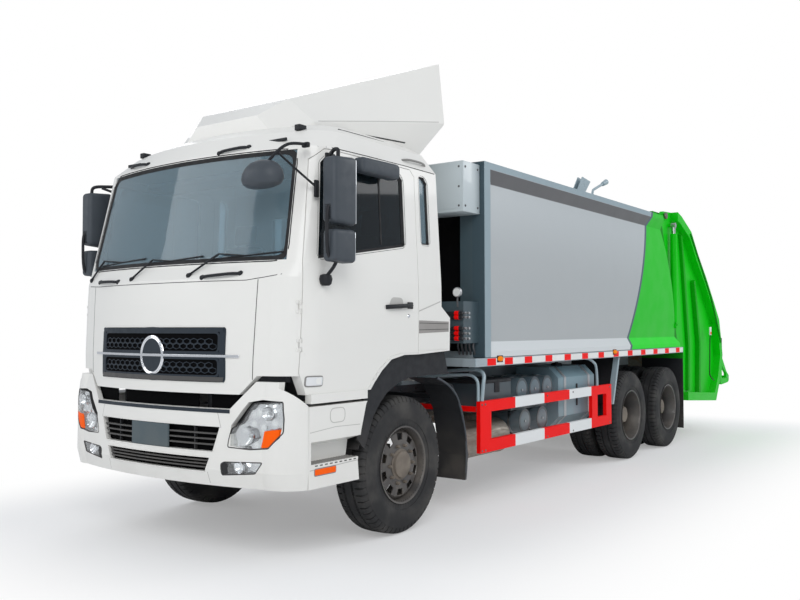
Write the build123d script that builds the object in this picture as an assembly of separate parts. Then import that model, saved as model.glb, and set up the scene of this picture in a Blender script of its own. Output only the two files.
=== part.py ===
from build123d import *
import os
from math import atan2, cos, degrees, hypot, radians, sin

# A rear-loading garbage truck, in millimetres.  +Z is up, the truck faces -Y and +X is its left side.
# Shapes are drawn in the axle frame: y = 0 at the front axle, z = 0 on the ground.  export_all moves
# every piece along Y so that the origin is the middle of the whole truck's box on the ground.

# ---- driving dimensions -------------------------------------------------------------------------
WHEELBASE = 4800            # front axle to the first rear axle
BOGIE = 1350                # first to second rear axle
LAST_AXLE = WHEELBASE + BOGIE
FRONT_END = -1515           # foremost point of the grille
GAP = 5                     # running gap round every door, lid and panel that moves
SEAT_GAP = 0.3              # between two pieces on one body that sit together

TYRE_R = 540
TYRE_W = 300
TYRE_CORNER = 55
RIM_R = 290                 # bead seat of the tyre
RIM_WALL = 12
FRONT_WHEEL_X = 1040        # middle of a front tyre
DUAL_PITCH = 345            # between the middles of twin tyres
REAR_WHEEL_X = 1060         # middle of an outer rear tyre
HUB_R = 130
HUB_BORE_GAP = 0.3
FRONT_SPINDLE_R = 45
REAR_SPINDLE_R = 50
KINGPIN_X = 900
KINGPIN_R = 25
PIN_GAP = 0.08              # radial clearance of a pin in its eye

RAIL_X = 430                # outer face of a chassis rail
RAIL_FLANGE = 80
RAIL_WALL = 8
RAIL_TOP = 1080
RAIL_DEPTH = 280
RAIL_FRONT = -1345
RAIL_REAR = LAST_AXLE + 550

CAB_WALL = 55
CAB_FLOOR_Z = 1245          # underside of the cab floor
CAB_FLOOR_T = 55
TUNNEL_X = 440              # half-width of the clear tunnel over the engine
TUNNEL_Z = 1500             # underside of the tunnel's top
CAB_PIVOT = (-1385, 1000)   # y and z of the cab's tilt axis
DOOR_SPLIT_Y = -1225        # seam between the front corner panel and the door
DOOR_HINGE = (1192, -1218)  # x and y of the left door's hinge axis
DOOR_HINGE_Z = (1500, 1760)
DOOR_KNUCKLE_R = 8
DOOR_PIN_R = 4
DOOR_NOSE_R = 90            # what the door's front edge sweeps round its axis, with its running gap
BELT_Z = 2062               # foot of the windscreen
ROOF_Z = 2900               # seam between the cab's sides and its roof

BODY_FRONT = 1156
BODY_X = 1250               # half-width of the load body
BODY_WALL_X = 1120          # half-width of the clear load space
BODY_FLOOR_Z = 1350
BODY_FLOOR_T = 50
BODY_TOP = 3120
BODY_ROOF_T = 60
SEAM_TOP_Y = LAST_AXLE      # where the body's rear frame ends at its top
SEAM_LEAN = 650             # how much further back it ends at the floor
SEAM_FOOT_Y = SEAM_TOP_Y + SEAM_LEAN
SEAM_BAND = 260             # length of the recessed rear frame
SEAM_GAP = 22               # between the rear frame and the tailgate
SIDE_RAIL_Z = (1270, 1345)
SIDE_RAIL_Y = (980, SEAM_FOOT_Y - 150)

TAIL_X = (1070, 1120)       # tailgate side plates, inner and outer face
TAIL_RIM_X = 1220           # outer face of the stiffening rim
TAIL_RIM_W = 120
HINGE = (SEAM_TOP_Y + 150, BODY_TOP + 50)       # y and z of the tailgate's hinge
HINGE_PIN_R = 30
BLADE_LOW = (SEAM_FOOT_Y + 1060, 1440)          # sweep pivot with the carriage right down
SLIDE_ANGLE = 52            # the carriage's guides, below the horizontal
SLIDE_TRAVEL = 750
BLADE_R = 780               # sweep pivot to the blade's tip
BLADE_REST = -55            # blade's angle from straight down, plus is rearwards
TRAY_CLEAR = 50             # blade tip to the hopper floor
TRAY_T = 50
LIFTER_PIVOT = (SEAM_FOOT_Y + 2000, 1120)
LIFTER_PIN_R = 18
LIFTER_X = (1125, 1165)     # the lifter's arms, inner and outer face
REAR_END = LIFTER_PIVOT[0] + 450                # rearmost point of the bin lifter

LIFT_FOOT = (SEAM_FOOT_Y - 320, 1650)           # y and z of the lift cylinder's foot on the body
LIFT_EYE = (SEAM_TOP_Y + 350, BODY_TOP - 70)    # y and z of its rod eye on the tailgate
LIFT_X = 1185
LIFT_PIN_R = 22
LIFT_BARREL_R = 45
LIFT_ROD_R = 28

MIDDLE_Y = (FRONT_END + REAR_END) / 2

nodes = {}


# ---- helpers ------------------------------------------------------------------------------------
def block(x, y, z):
    """A box from three (low, high) pairs."""
    size = (x[1] - x[0], y[1] - y[0], z[1] - z[0])
    return Pos((x[0] + x[1]) / 2, (y[0] + y[1]) / 2, (z[0] + z[1]) / 2) * Box(*size)


def side_face(points, grow=0):
    """A face in the Y-Z plane, grown outwards by grow."""
    face = make_face(Polyline(*points, close=True))
    if grow:
        face = offset(face, grow, kind=Kind.INTERSECTION)
    return face


def side_prism(points, x0, x1, grow=0):
    """A Y-Z outline carried along X from x0 to x1."""
    return extrude(Plane.YZ.offset(x0) * side_face(points, grow), x1 - x0)


def front_prism(points, y0, y1, grow=0):
    """An X-Z outline carried along Y from y0 to y1."""
    return extrude(Plane.XZ.offset(-y1) * side_face(points, grow), y1 - y0)


def rod_x(r, y, z, x0, x1):
    """A round bar along X."""
    return extrude(Plane.YZ.offset(x0) * Pos(y, z) * Circle(r), x1 - x0)


def rod_z(r, x, y, z0, z1):
    return extrude(Plane.XY.offset(z0) * Pos(x, y) * Circle(r), z1 - z0)


def rod_between(r, start, end):
    """A round bar from one point to another."""
    a, b = Vector(*start), Vector(*end)
    return extrude(Plane(origin=a, z_dir=b - a) * Circle(r), (b - a).length)


def mirrored(shape):
    return mirror(shape, about=Plane.YZ)


def keep(name, *shapes):
    """Store a node: one shape, or several that don't touch."""
    solids = [solid for shape in shapes for solid in shape.solids()]
    nodes[name] = solids[0] if len(solids) == 1 else Compound(children=solids)


def fuse(first, *others):
    result = first
    for other in others:
        result = result + other
    return result


# ---- wheels and axles ---------------------------------------------------------------------------
def tyre(x, y):
    """A tyre of the outside size, with its bore at the rim's bead seat."""
    half = TYRE_W / 2
    outline = Polyline(
        (x - half, RIM_R + SEAT_GAP), (x - half, TYRE_R - TYRE_CORNER), (x - half + TYRE_CORNER, TYRE_R),
        (x + half - TYRE_CORNER, TYRE_R), (x + half, TYRE_R - TYRE_CORNER), (x + half, RIM_R + SEAT_GAP),
        close=True)
    ring = revolve(Plane.XY * make_face(outline), Axis.X)
    return Pos(0, y, TYRE_R) * ring


def rim(x, y, disc_x, hub_x, bore_r):
    """A drum-shaped rim with its disc at disc_x and a hub from hub_x[0] to hub_x[1], bored blind."""
    half = TYRE_W / 2 - 8
    barrel = rod_x(RIM_R, y, TYRE_R, x - half, x + half) - rod_x(RIM_R - RIM_WALL, y, TYRE_R, x - half, x + half)
    disc = rod_x(RIM_R - RIM_WALL, y, TYRE_R, disc_x - 8, disc_x + 8)
    hub = rod_x(HUB_R, y, TYRE_R, hub_x[0], hub_x[1])
    bore = rod_x(bore_r, y, TYRE_R, hub_x[0], hub_x[1] - 25)
    return fuse(barrel, disc, hub) - bore


def make_wheels():
    front_hub = (FRONT_WHEEL_X - 30, FRONT_WHEEL_X + 145)
    bore = FRONT_SPINDLE_R + HUB_BORE_GAP
    keep("tyre_front_left", tyre(FRONT_WHEEL_X, 0))
    keep("rim_front_left", rim(FRONT_WHEEL_X, 0, FRONT_WHEEL_X + 95, front_hub, bore))
    inner_x = REAR_WHEEL_X - DUAL_PITCH
    mate_x = (inner_x + REAR_WHEEL_X) / 2
    rear_hub = (inner_x + 30, REAR_WHEEL_X + 60)
    for number, y in ((1, WHEELBASE), (2, WHEELBASE + BOGIE)):
        reach = DUAL_PITCH / 2 - TYRE_W / 2 + 20
        outer = rim(REAR_WHEEL_X, y, mate_x + reach, (mate_x, rear_hub[1]), REAR_SPINDLE_R + HUB_BORE_GAP)
        inner = rim(inner_x, y, mate_x - reach, rear_hub, REAR_SPINDLE_R + HUB_BORE_GAP)
        bore_y = rod_x(REAR_SPINDLE_R + HUB_BORE_GAP, y, TYRE_R, rear_hub[0], rear_hub[1] - 25)
        spacer = rod_x(HUB_R + 60, y, TYRE_R, mate_x - reach, mate_x + reach)
        keep(f"tyres_rear{number}_left", tyre(REAR_WHEEL_X, y), tyre(inner_x, y))
        keep(f"rims_rear{number}_left", fuse(outer, inner, spacer) - bore_y)
    for name in [n for n in nodes if n.endswith("_left")]:
        keep(name.replace("_left", "_right"), mirrored(nodes[name]))


def make_front_axle():
    beam = block((-820, 820), (-55, 55), (430, 530))
    eyes = [rod_z(55, side * KINGPIN_X, 0, 445, 635) + block(
        (min(side * 800, side * 870), max(side * 800, side * 870)), (-50, 50), (450, 530)) for side in (-1, 1)]
    bores = [rod_z(KINGPIN_R + PIN_GAP, side * KINGPIN_X, 0, 400, 700) for side in (-1, 1)]
    pads = [block((side * 390 - 45, side * 390 + 45), (-60, 60), (530, 600)) for side in (-1, 1)]
    axle = fuse(beam, *eyes, *pads)
    for bore in bores:
        axle = axle - bore
    keep("front_axle", axle)


def make_knuckles():
    top = block((KINGPIN_X - 45, KINGPIN_X + 110), (-50, 50), (640, 685))
    low = block((KINGPIN_X - 45, KINGPIN_X + 110), (-50, 50), (395, 440))
    web = block((KINGPIN_X + 62, KINGPIN_X + 110), (-50, 50), (395, 685))
    pin = rod_z(KINGPIN_R, KINGPIN_X, 0, 400, 680)
    spindle = rod_x(FRONT_SPINDLE_R, 0, TYRE_R, KINGPIN_X + 100, FRONT_WHEEL_X + 110)
    knuckle = fuse(top, low, web, pin, spindle)
    keep("knuckle_left", knuckle)
    keep("knuckle_right", mirrored(knuckle))


def make_rear_axles():
    """Two drive axles and the shafts that join them to the gearbox."""
    end = REAR_WHEEL_X + 20
    half = [(0, 200), (95, 200), (190, 80), (600, 80), (600, REAR_SPINDLE_R), (end, REAR_SPINDLE_R)]
    outline = [(-end, 0)] + [(-x, r) for x, r in reversed(half)] + half[1:] + [(end, 0)]
    bar = revolve(make_face(Polyline(*outline, close=True)), Axis.X)
    pieces = []
    for y in (WHEELBASE, WHEELBASE + BOGIE):
        pads = [block((s * 390 - 45, s * 390 + 45), (y - 60, y + 60), (560, 640)) for s in (-1, 1)]
        pieces += [Pos(0, y, TYRE_R) * bar, *pads]
    shafts = [rod_between(45, (0, 706, 820), (0, WHEELBASE - 150, 600)),
              rod_between(40, (0, WHEELBASE + 150, 560), (0, WHEELBASE + BOGIE - 150, 560))]
    keep("rear_axles", fuse(*pieces, *shafts))


def make_springs():
    """Leaf packs: front ones hang from the rails, rear ones rock under them."""
    mid = WHEELBASE + BOGIE / 2
    low, top = RAIL_TOP - RAIL_DEPTH, 640
    front = [(-830, low), (-830, 740), (-60, 600), (60, 600), (830, 740), (830, low),
             (760, low), (760, 780), (0, 665), (-760, 780), (-760, low)]
    ends = BOGIE / 2 + 100
    rear = [(mid - ends, top), (mid - ends + 200, top), (mid, 700), (mid + ends - 200, top), (mid + ends, top),
            (mid + ends, top + 40), (mid + 90, low), (mid - 90, low), (mid - ends, top + 40)]
    shapes = []
    for outline in (front, rear):
        pack = side_prism(outline, RAIL_X - RAIL_FLANGE, RAIL_X)
        shapes += [pack, mirrored(pack)]
    keep("springs", *shapes)


# ---- chassis ------------------------------------------------------------------------------------
def make_frame():
    low = RAIL_TOP - RAIL_DEPTH
    outer = block((RAIL_X - RAIL_FLANGE, RAIL_X), (RAIL_FRONT, RAIL_REAR), (low, RAIL_TOP))
    hollow = block((RAIL_X - RAIL_FLANGE - 10, RAIL_X - RAIL_WALL), (RAIL_FRONT - 10, RAIL_REAR + 10),
                   (low + RAIL_WALL, RAIL_TOP - RAIL_WALL))
    rail = outer - hollow
    inside = RAIL_X - RAIL_WALL
    crossings = [block((-inside, inside), (y - 40, y + 40), (RAIL_TOP - 110, RAIL_TOP - RAIL_WALL))
                 for y in (950, WHEELBASE / 2, WHEELBASE - 900, WHEELBASE + BOGIE / 2, RAIL_REAR - 60)]
    front_beam = block((-620, 620), (RAIL_FRONT + 15, RAIL_FRONT + 85), (940, 1020))
    pivot_y, pivot_z = CAB_PIVOT
    lug = rod_x(38, pivot_y, pivot_z, RAIL_X - 60, RAIL_X) + block(
        (RAIL_X - 60, RAIL_X), (pivot_y, RAIL_FRONT + 1), (pivot_z - 35, pivot_z + 35))
    pin = rod_x(20, pivot_y, pivot_z, RAIL_X - 60, RAIL_X + 75)
    side = fuse(rail, lug, pin)
    keep("chassis_frame", fuse(side, mirrored(side), front_beam, *crossings))


def make_engine():
    """The engine and gearbox as one plain block on its four mounts."""
    body = block((-320, 320), (-800, 700), (640, 1440))
    web = RAIL_X - RAIL_WALL
    mounts = [block((min(s * 320, s * web), max(s * 320, s * web)), (y - 50, y + 50), (860, 950))
              for s in (-1, 1) for y in (-550, 450)]
    keep("engine_block", fuse(body, *mounts))


def make_tanks():
    """Five air reservoirs on their shelf, the hydraulic tank, the fuel tank and the battery box."""
    shelf = block((RAIL_X, 1050), (1990, 2790), (800, 890))
    air = [rod_x(120, y, 1000, 620, 1110) for y in (2110, 2390, 2670)]
    air += [rod_x(120, y, 690, 620, 1110) for y in (2170, 2550)]
    hydraulic = side_prism([(2900, 560), (3840, 560), (3840, 1190), (2900, 1190)], 620, 1125)
    hydraulic = chamfer(hydraulic.edges().filter_by(Axis.Y).group_by(Axis.X)[-1], 110)
    stays = [block((RAIL_X, 621), (y - 30, y + 30), (850, 950)) for y in (3050, 3690)]
    fuel = side_prism([(1500, 560), (2790, 560), (2790, 1130), (1500, 1130)], 620, 1125)
    fuel = fillet(fuel.edges().filter_by(Axis.Y), 90)
    fuel_stays = [block((RAIL_X, 621), (y - 30, y + 30), (850, 950)) for y in (1700, 2600)]
    keep("tanks", fuse(shelf, *air), fuse(hydraulic, *stays), mirrored(fuse(fuel, *fuel_stays)), battery_box())


def battery_box():
    box = block((640, 1110), (1330, 1880), (860, 1120))
    stays = [block((RAIL_X, 641), (y - 30, y + 30), (900, 960)) for y in (1430, 1780)]
    return fuse(fillet(box.edges().filter_by(Axis.X), 25), *stays)


def make_muffler():
    can = extrude(Plane.XZ.offset(-1940) * Pos(880, 560) * Circle(165), 760)
    hangers = [block((RAIL_X, 880), (y - 30, y + 30), (715, 775)) + block(
        (RAIL_X, RAIL_X + 40), (y - 30, y + 30), (715, 900)) for y in (1330, 1790)]
    keep("muffler", fuse(can, *hangers))


def make_side_guards():
    """A plate with two windows each side, on three stays from the rail."""
    y0, y1, z0, z1 = 1090, WHEELBASE - 720, 500, 960
    plate = block((1195, 1235), (y0, y1), (z0, z1))
    for window in ((y0 + 195, y1 - 550), (y1 - 400, y1 - 150)):
        plate = plate - block((1190, 1240), window, (z0 + 110, z1 - 100))
    stays = [block((RAIL_X, 1196), (y - 22, y + 22), (865, 910)) for y in (y0 + 40, 2845, y1 - 35)]
    guard = fuse(plate, *stays)
    keep("side_guards", guard, mirrored(guard))


def make_mudguards():
    """Front guards' rear halves with their flaps, and the rear bogie's front plates and rear flaps."""
    t = 12
    arc = [(447, 1200), (680, 1130), (840, 905), (935, 506), (890, 300)]
    inner = [(y - t, z - t / 3) for y, z in reversed(arc)]
    front = side_prism(arc + inner, 905, 1205) + block((RAIL_X, 925), (735, 775), (1000, 1040))
    head, foot, rear = WHEELBASE - 400, WHEELBASE - 595, RAIL_REAR + 45
    plate = side_prism([(head, SIDE_RAIL_Z[0]), (head + 10, SIDE_RAIL_Z[0]), (foot + 10, 720), (foot, 720)], 600, 1215)
    flap = block((620, 1215), (rear, rear + t), (200, SIDE_RAIL_Z[0]))
    flap = flap + block((RAIL_X, 900), (RAIL_REAR - 50, rear + 1), (1005, 1045))
    keep("mudguards", front, plate, flap, mirrored(front), mirrored(plate), mirrored(flap))


# ---- bumper, lamps and steps --------------------------------------------------------------------
# bumper section: height, front, bow, corner along x, corner along y, half-width
BUMPER_SECTIONS = (
    (525, FRONT_END + 40, 120, 245, 150, 1235),
    (640, FRONT_END + 10, 120, 245, 170, 1245),
    (1060, FRONT_END + 15, 122, 245, 165, 1245),
    (1260, FRONT_END + 45, 125, 240, 140, 1240),
)
BUMPER_WALL = 42
BUMPER_BACK = -1190
HEADLAMP = [(747, 812), (753, 950), (824, 1036), (885, 1112), (992, 1131), (1144, 1124), (1156, 1010), (1134, 884),
            (1053, 808), (907, 792)]
FOG_LAMP = [(676, 607), (672, 683), (699, 698), (1001, 710), (947, 633)]


def plan_section(z, front, bow, corner_x, corner_y, half_width, back, inset=0):
    """A cab or bumper outline seen from above: bowed front, round corners, straight sides."""
    hw, fy, by = half_width - inset, front + inset, back - inset
    cx, cy = half_width - corner_x, front + bow + inset
    sy = cy + corner_y
    mid_x, mid_y = cx + 0.72 * (hw - cx), cy + 0.36 * corner_y
    edges = [ThreePointArc((-cx, cy), (0, fy), (cx, cy)), ThreePointArc((cx, cy), (mid_x, mid_y), (hw, sy)),
             Line((hw, sy), (hw, by)), Line((hw, by), (-hw, by)), Line((-hw, by), (-hw, sy)),
             ThreePointArc((-hw, sy), (-mid_x, mid_y), (-cx, cy))]
    return Plane.XY.offset(z) * make_face(edges)


def bumper_form(inset, back):
    faces = [plan_section(z, fy, bow, cx, cy, hw, back + inset, inset) for z, fy, bow, cx, cy, hw in BUMPER_SECTIONS]
    return loft(faces, ruled=True)


def bumper_skin():
    return bumper_form(0, BUMPER_BACK) - bumper_form(BUMPER_WALL, BUMPER_BACK + 80)


def make_bumper():
    skin = bumper_skin()
    top = [(-1300, 1250), (-925, 1250), (-740, 1060), (740, 1060), (925, 1250), (1300, 1250),
           (1300, 1400), (-1300, 1400)]
    skin = skin - front_prism(top, -1700, -1000)
    corner = [(-1180, 1075), (-1375, 1240), (-1375, 1400), (-1000, 1400), (-1000, 1075)]
    louvres = [(-598, 762), (598, 762), (657, 934), (-657, 934)]
    slot = [(-530, 622), (530, 622), (570, 718), (-570, 718)]
    for cut in (side_prism(corner, 1110, 1300), side_prism(corner, -1300, -1110),
                front_prism(louvres, -1700, -1300), front_prism(slot, -1700, -1300)):
        skin = skin - cut
    for outline in (HEADLAMP, FOG_LAMP):
        hole = front_prism(outline, -1700, -1150)
        skin = skin - hole - mirrored(hole)
    stays = [block((s * 570 - 30, s * 570 + 30), (-1450, RAIL_FRONT + 15), (950, 1010)) for s in (-1, 1)]
    keep("front_bumper", fuse(skin, *stays))
    lamps = [bumper_skin() & front_prism(outline, -1700, -1150, grow=-SEAT_GAP) for outline in (HEADLAMP, FOG_LAMP)]
    keep("front_lamps", *lamps, *[mirrored(lamp) for lamp in lamps])


def make_steps():
    """A step box below each door, with a foothold above its tread."""
    outline = [(-1185, 522), (-640, 522), (-655, 660), (-615, 870), (-555, 1060), (-540, 1080),
               (-1180, 1080)]
    pocket = [(1120, 688), (1300, 688), (1300, 840), (1232, 840), (1120, 800)]
    box = side_prism(outline, 860, 1240) - front_prism(pocket, -1160, -500)
    box = box - block((860, 1000), (-2000, 0), (500, 740))
    stay = block((RAIL_X, 861), (-950, -890), (850, 910))
    step = fuse(box, stay)
    keep("cab_steps", step, mirrored(step))


# ---- cab ----------------------------------------------------------------------------------------
# cab section: height, front, bow, corner along x, corner along y, half-width, back
CAB_SECTIONS = (
    (1160, FRONT_END + 10, 165, 225, 270, 1235, 580),
    (1420, FRONT_END + 10, 165, 225, 270, 1240, 580),
    (1700, -1492, 165, 225, 270, 1245, 580),
    (1790, -1488, 165, 225, 270, 1245, 450),
    (1965, -1475, 160, 225, 270, 1243, 450),
    (2062, -1390, 135, 160, 190, 1238, 450),
    (2900, -1215, 150, 150, 180, 1195, 440),
    (3050, -1090, 170, 200, 220, 1120, 340),
    (3140, -900, 140, 250, 250, 980, 200),
    (3190, -700, 90, 250, 250, 740, 60),
)
DOOR = [(-1225, 1312), (-1165, 1100), (-545, 1100), (-500, 1155), (-450, 1210), (-360, 1295), (-240, 1375),
        (-70, 1405), (115, 1405), (115, 2830), (60, 2880), (-960, 2880), (-1055, 2800), (-1190, 2062)]
DOOR_WINDOW = [(-1085, 2095), (-45, 2255), (-45, 2780), (-90, 2825), (-960, 2825), (-1000, 2780)]
QUARTER_WINDOW = [(185, 2290), (300, 2290), (300, 2800), (260, 2845), (185, 2845)]
SCREEN = [(-1090, 2085), (1090, 2085), (1030, 2880), (-1030, 2880)]
REAR_WINDOW = [(-650, 2150), (650, 2150), (650, 2650), (-650, 2650)]


def cab_form(inset, low=0, roof_drop=0):
    """The cab's outer form shrunk by inset; the roof sections come down by roof_drop."""
    faces = []
    for z, fy, bow, cx, cy, hw, back in CAB_SECTIONS:
        height = z - roof_drop if z > ROOF_Z else z
        faces.append(plan_section(max(height, low), fy, bow, cx, cy, hw, back, inset))
    return loft(faces, ruled=True)


def slab_between(outer, inner):
    return cab_form(outer, roof_drop=outer) - cab_form(inner, roof_drop=inner)


def hinge_bar(r, z0, z1):
    """A bar on the left door's hinge axis, from z0 to z1."""
    return rod_z(r, *DOOR_HINGE, z0, z1)


def hinge_rooms(door_side):
    """What is cut from one side of the seam so that the other side's knuckles can turn there."""
    x, y = DOOR_HINGE
    half = DOOR_KNUCKLE_R + 3
    rooms = []
    for z in DOOR_HINGE_Z:
        bands = ((z - 47, z - 17), (z + 17, z + 47)) if door_side else ((z - 18, z + 18),)
        rooms += [block((x - half, x + half), (y - half, y + half), band) for band in bands]
    return fuse(*rooms)


def cab_knuckles():
    """The fixed knuckles of both door hinges, square and on their arms, with the pin."""
    x, y = DOOR_HINGE
    half = DOOR_KNUCKLE_R - 2
    pieces = []
    for z in DOOR_HINGE_Z:
        for z0, z1 in ((z - 44, z - 20), (z + 20, z + 44)):
            pieces.append(block((x - half, x + half), (y - half, y + half), (z0, z1)))
            pieces.append(block((x - 20, x - 4), (y - 24, y - 4), (z0, z1)))
        pieces.append(hinge_bar(DOOR_PIN_R, z - 42, z + 42))
    return pieces


def make_cab():
    inner = cab_form(CAB_WALL, roof_drop=CAB_WALL)
    shell = cab_form(0) - inner
    everywhere = (-1300, 1300)
    low_cut = [(-1300, 1100), (-1300, 1290), (-930, 1290), (-800, 1160), (800, 1160), (930, 1290), (1300, 1290),
               (1300, 1100)]
    door_hole = side_prism(DOOR, 900, 1300, grow=GAP)
    screen_hole = front_prism(SCREEN, -1700, -850, grow=SEAT_GAP)
    quarter = side_prism(QUARTER_WINDOW, 1000, 1300)
    shell = shell - front_prism(low_cut, -1700, -800) - screen_hole
    for hole in (door_hole, quarter):
        shell = shell - hole - mirrored(hole)
    shell = shell - front_prism(REAR_WINDOW, 300, 700)
    shell = shell - block((-TUNNEL_X, TUNNEL_X), (300, 700), (1100, TUNNEL_Z))
    arch = [(DOOR_SPLIT_Y - GAP, 1000), *[point for point in DOOR if point[1] < 1410], (700, 1430), (700, 1000)]
    shell = shell - side_prism(arch, 900, 1300) - side_prism(arch, -1300, -900)

    front_zone = block(everywhere, (-1700, -600), (1100, BELT_Z))
    roof_zone = block(everywhere, (-1700, 900), (ROOF_Z, 3300))
    back_zone = block((-1190, 1190), (300, 900), (1100, ROOF_Z))
    knuckles = cab_knuckles()
    knuckles += [mirrored(knuckle) for knuckle in knuckles]
    room = hinge_rooms(door_side=False)
    keep("cab_front", fuse((shell & front_zone) - room - mirrored(room), *knuckles))
    keep("cab_roof", shell & roof_zone)
    keep("cab_back", shell & back_zone)
    keep("cab_sides", shell - front_zone - roof_zone - back_zone)

    floor_band = block(everywhere, (-1700, 900), (CAB_FLOOR_Z, CAB_FLOOR_Z + CAB_FLOOR_T))
    tunnel_out = block((-TUNNEL_X - 40, TUNNEL_X + 40), (-1000, 900), (CAB_FLOOR_Z, TUNNEL_Z + 40))
    tunnel_in = block((-TUNNEL_X, TUNNEL_X), (-960, 900), (1000, TUNNEL_Z))
    seat_form = cab_form(CAB_WALL + SEAT_GAP, roof_drop=CAB_WALL)
    floor = ((floor_band & seat_form) + (tunnel_out & seat_form)) - tunnel_in
    beside_door = door_hole - cab_form(CAB_WALL + GAP, roof_drop=CAB_WALL)
    door_nose = hinge_bar(DOOR_NOSE_R, CAB_FLOOR_Z - 1, CAB_FLOOR_Z + CAB_FLOOR_T + 1)
    beside_door = beside_door + door_nose
    floor = floor - beside_door - mirrored(beside_door)
    pivot_y, pivot_z = CAB_PIVOT
    leg = block((RAIL_X + 12, RAIL_X + 70), (pivot_y + 22, pivot_y + 50), (pivot_z, CAB_FLOOR_Z + 5))
    leg = leg + rod_x(35, pivot_y, pivot_z, RAIL_X + 12, RAIL_X + 70)
    leg = leg - rod_x(20 + PIN_GAP, pivot_y, pivot_z, RAIL_X, RAIL_X + 90)
    keep("cab_floor", fuse(floor, leg, mirrored(leg)))

    glass = slab_between(10, 18)
    windscreen = glass & front_prism(SCREEN, -1700, -850)
    quarters = slab_between(22, 28) & side_prism(QUARTER_WINDOW, 1000, 1300)
    rear = slab_between(22, 28) & front_prism(REAR_WINDOW, 300, 700)
    keep("cab_glass", windscreen, quarters, mirrored(quarters), rear)


def make_doors():
    skin = cab_form(0) - cab_form(CAB_WALL, roof_drop=CAB_WALL)
    panel = skin & side_prism(DOOR, 900, 1300)
    below = block((1190, 1245), (-1165, -545), (1100, 1165))
    panel = panel + below - side_prism(DOOR_WINDOW, 900, 1300) - hinge_rooms(door_side=True)
    x, y = DOOR_HINGE
    for z in DOOR_HINGE_Z:
        arm = block((x - 4, x + 4), (y, y + 20), (z - 15, z + 15))
        panel = fuse(panel, hinge_bar(DOOR_KNUCKLE_R, z - 15, z + 15), arm)
        panel = panel - hinge_bar(DOOR_PIN_R + PIN_GAP, z - 50, z + 50)
    glass = slab_between(22, 28) & side_prism(DOOR_WINDOW, 900, 1300, grow=-SEAT_GAP)
    arm_y = -1040
    foot = rod_x(32, arm_y, 1960, 1225, 1290)
    lower = rod_between(16, (1262, arm_y, 1960), (1400, arm_y - 20, 2120))
    mast = rod_z(16, 1400, arm_y - 20, 2060, 2830)
    upper = rod_between(16, (1400, arm_y - 20, 2830), (1185, -900, 2840))
    main_head = block((1310, 1440), (arm_y - 107, arm_y + 50), (2310, 2800))
    wide_head = block((1312, 1438), (arm_y - 107, arm_y + 40), (2060, 2290))
    mirror_piece = fuse(foot, lower, mast, upper, main_head, wide_head) - cab_form(-SEAT_GAP, roof_drop=-SEAT_GAP)
    for side, turn in (("left", lambda s: s), ("right", mirrored)):
        keep(f"door_{side}", turn(panel))
        keep(f"door_glass_{side}", turn(glass))
        keep(f"mirror_{side}", turn(mirror_piece))


# deflector section: y, half-width at the foot, shoulder's half-width and height, top's half-width and height
DEFLECTOR_SECTIONS = (
    (-800, 480, 470, 3150, 350, 3275),
    (-600, 790, 770, 3200, 500, 3425),
    (700, 960, 1115, 3390, 1060, 3920),
)
DEFLECTOR_WALL = 30
DEFLECTOR_FOOT = 3040


def deflector_form(inset):
    """The air deflector's form; the shrunk copy runs out through its open back."""
    faces = []
    for y, foot_x, mid_x, mid_z, top_x, top_z in DEFLECTOR_SECTIONS:
        y = y + inset * 1.2
        right = [(foot_x - inset, DEFLECTOR_FOOT - inset), (mid_x - inset, mid_z), (top_x - inset, top_z - inset)]
        points = right + [(-x, z) for x, z in reversed(right)]
        faces.append(Plane.XZ.offset(-y) * make_face(Polyline(*points, close=True)))
    return loft(faces, ruled=True)


def make_cab_trim():
    grille = slab_between(-10, -SEAT_GAP)
    outline = [(-687, 1240), (687, 1240), (687, 1622), (-687, 1622)]
    keep("front_grille", grille & front_prism(outline, -1700, -1200))
    tail = [(705, 3380), (530, 3100), (450, 3000), (900, 3000), (900, 3380)]
    fairing = deflector_form(0) - deflector_form(DEFLECTOR_WALL) - side_prism(tail, -1300, 1300)
    keep("roof_deflector", fairing - cab_form(-SEAT_GAP, roof_drop=-SEAT_GAP))
    arm = rod_between(14, (1120, -1060, 2700), (1085, -1412, 2680))
    disc = extrude(Plane(origin=(1085, -1395, 2640), z_dir=(0, -1, -0.15)) * Circle(105), 40)
    keep("front_mirror", max(((fuse(arm, disc)) - cab_form(0)).solids(), key=lambda s: s.volume))


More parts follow.
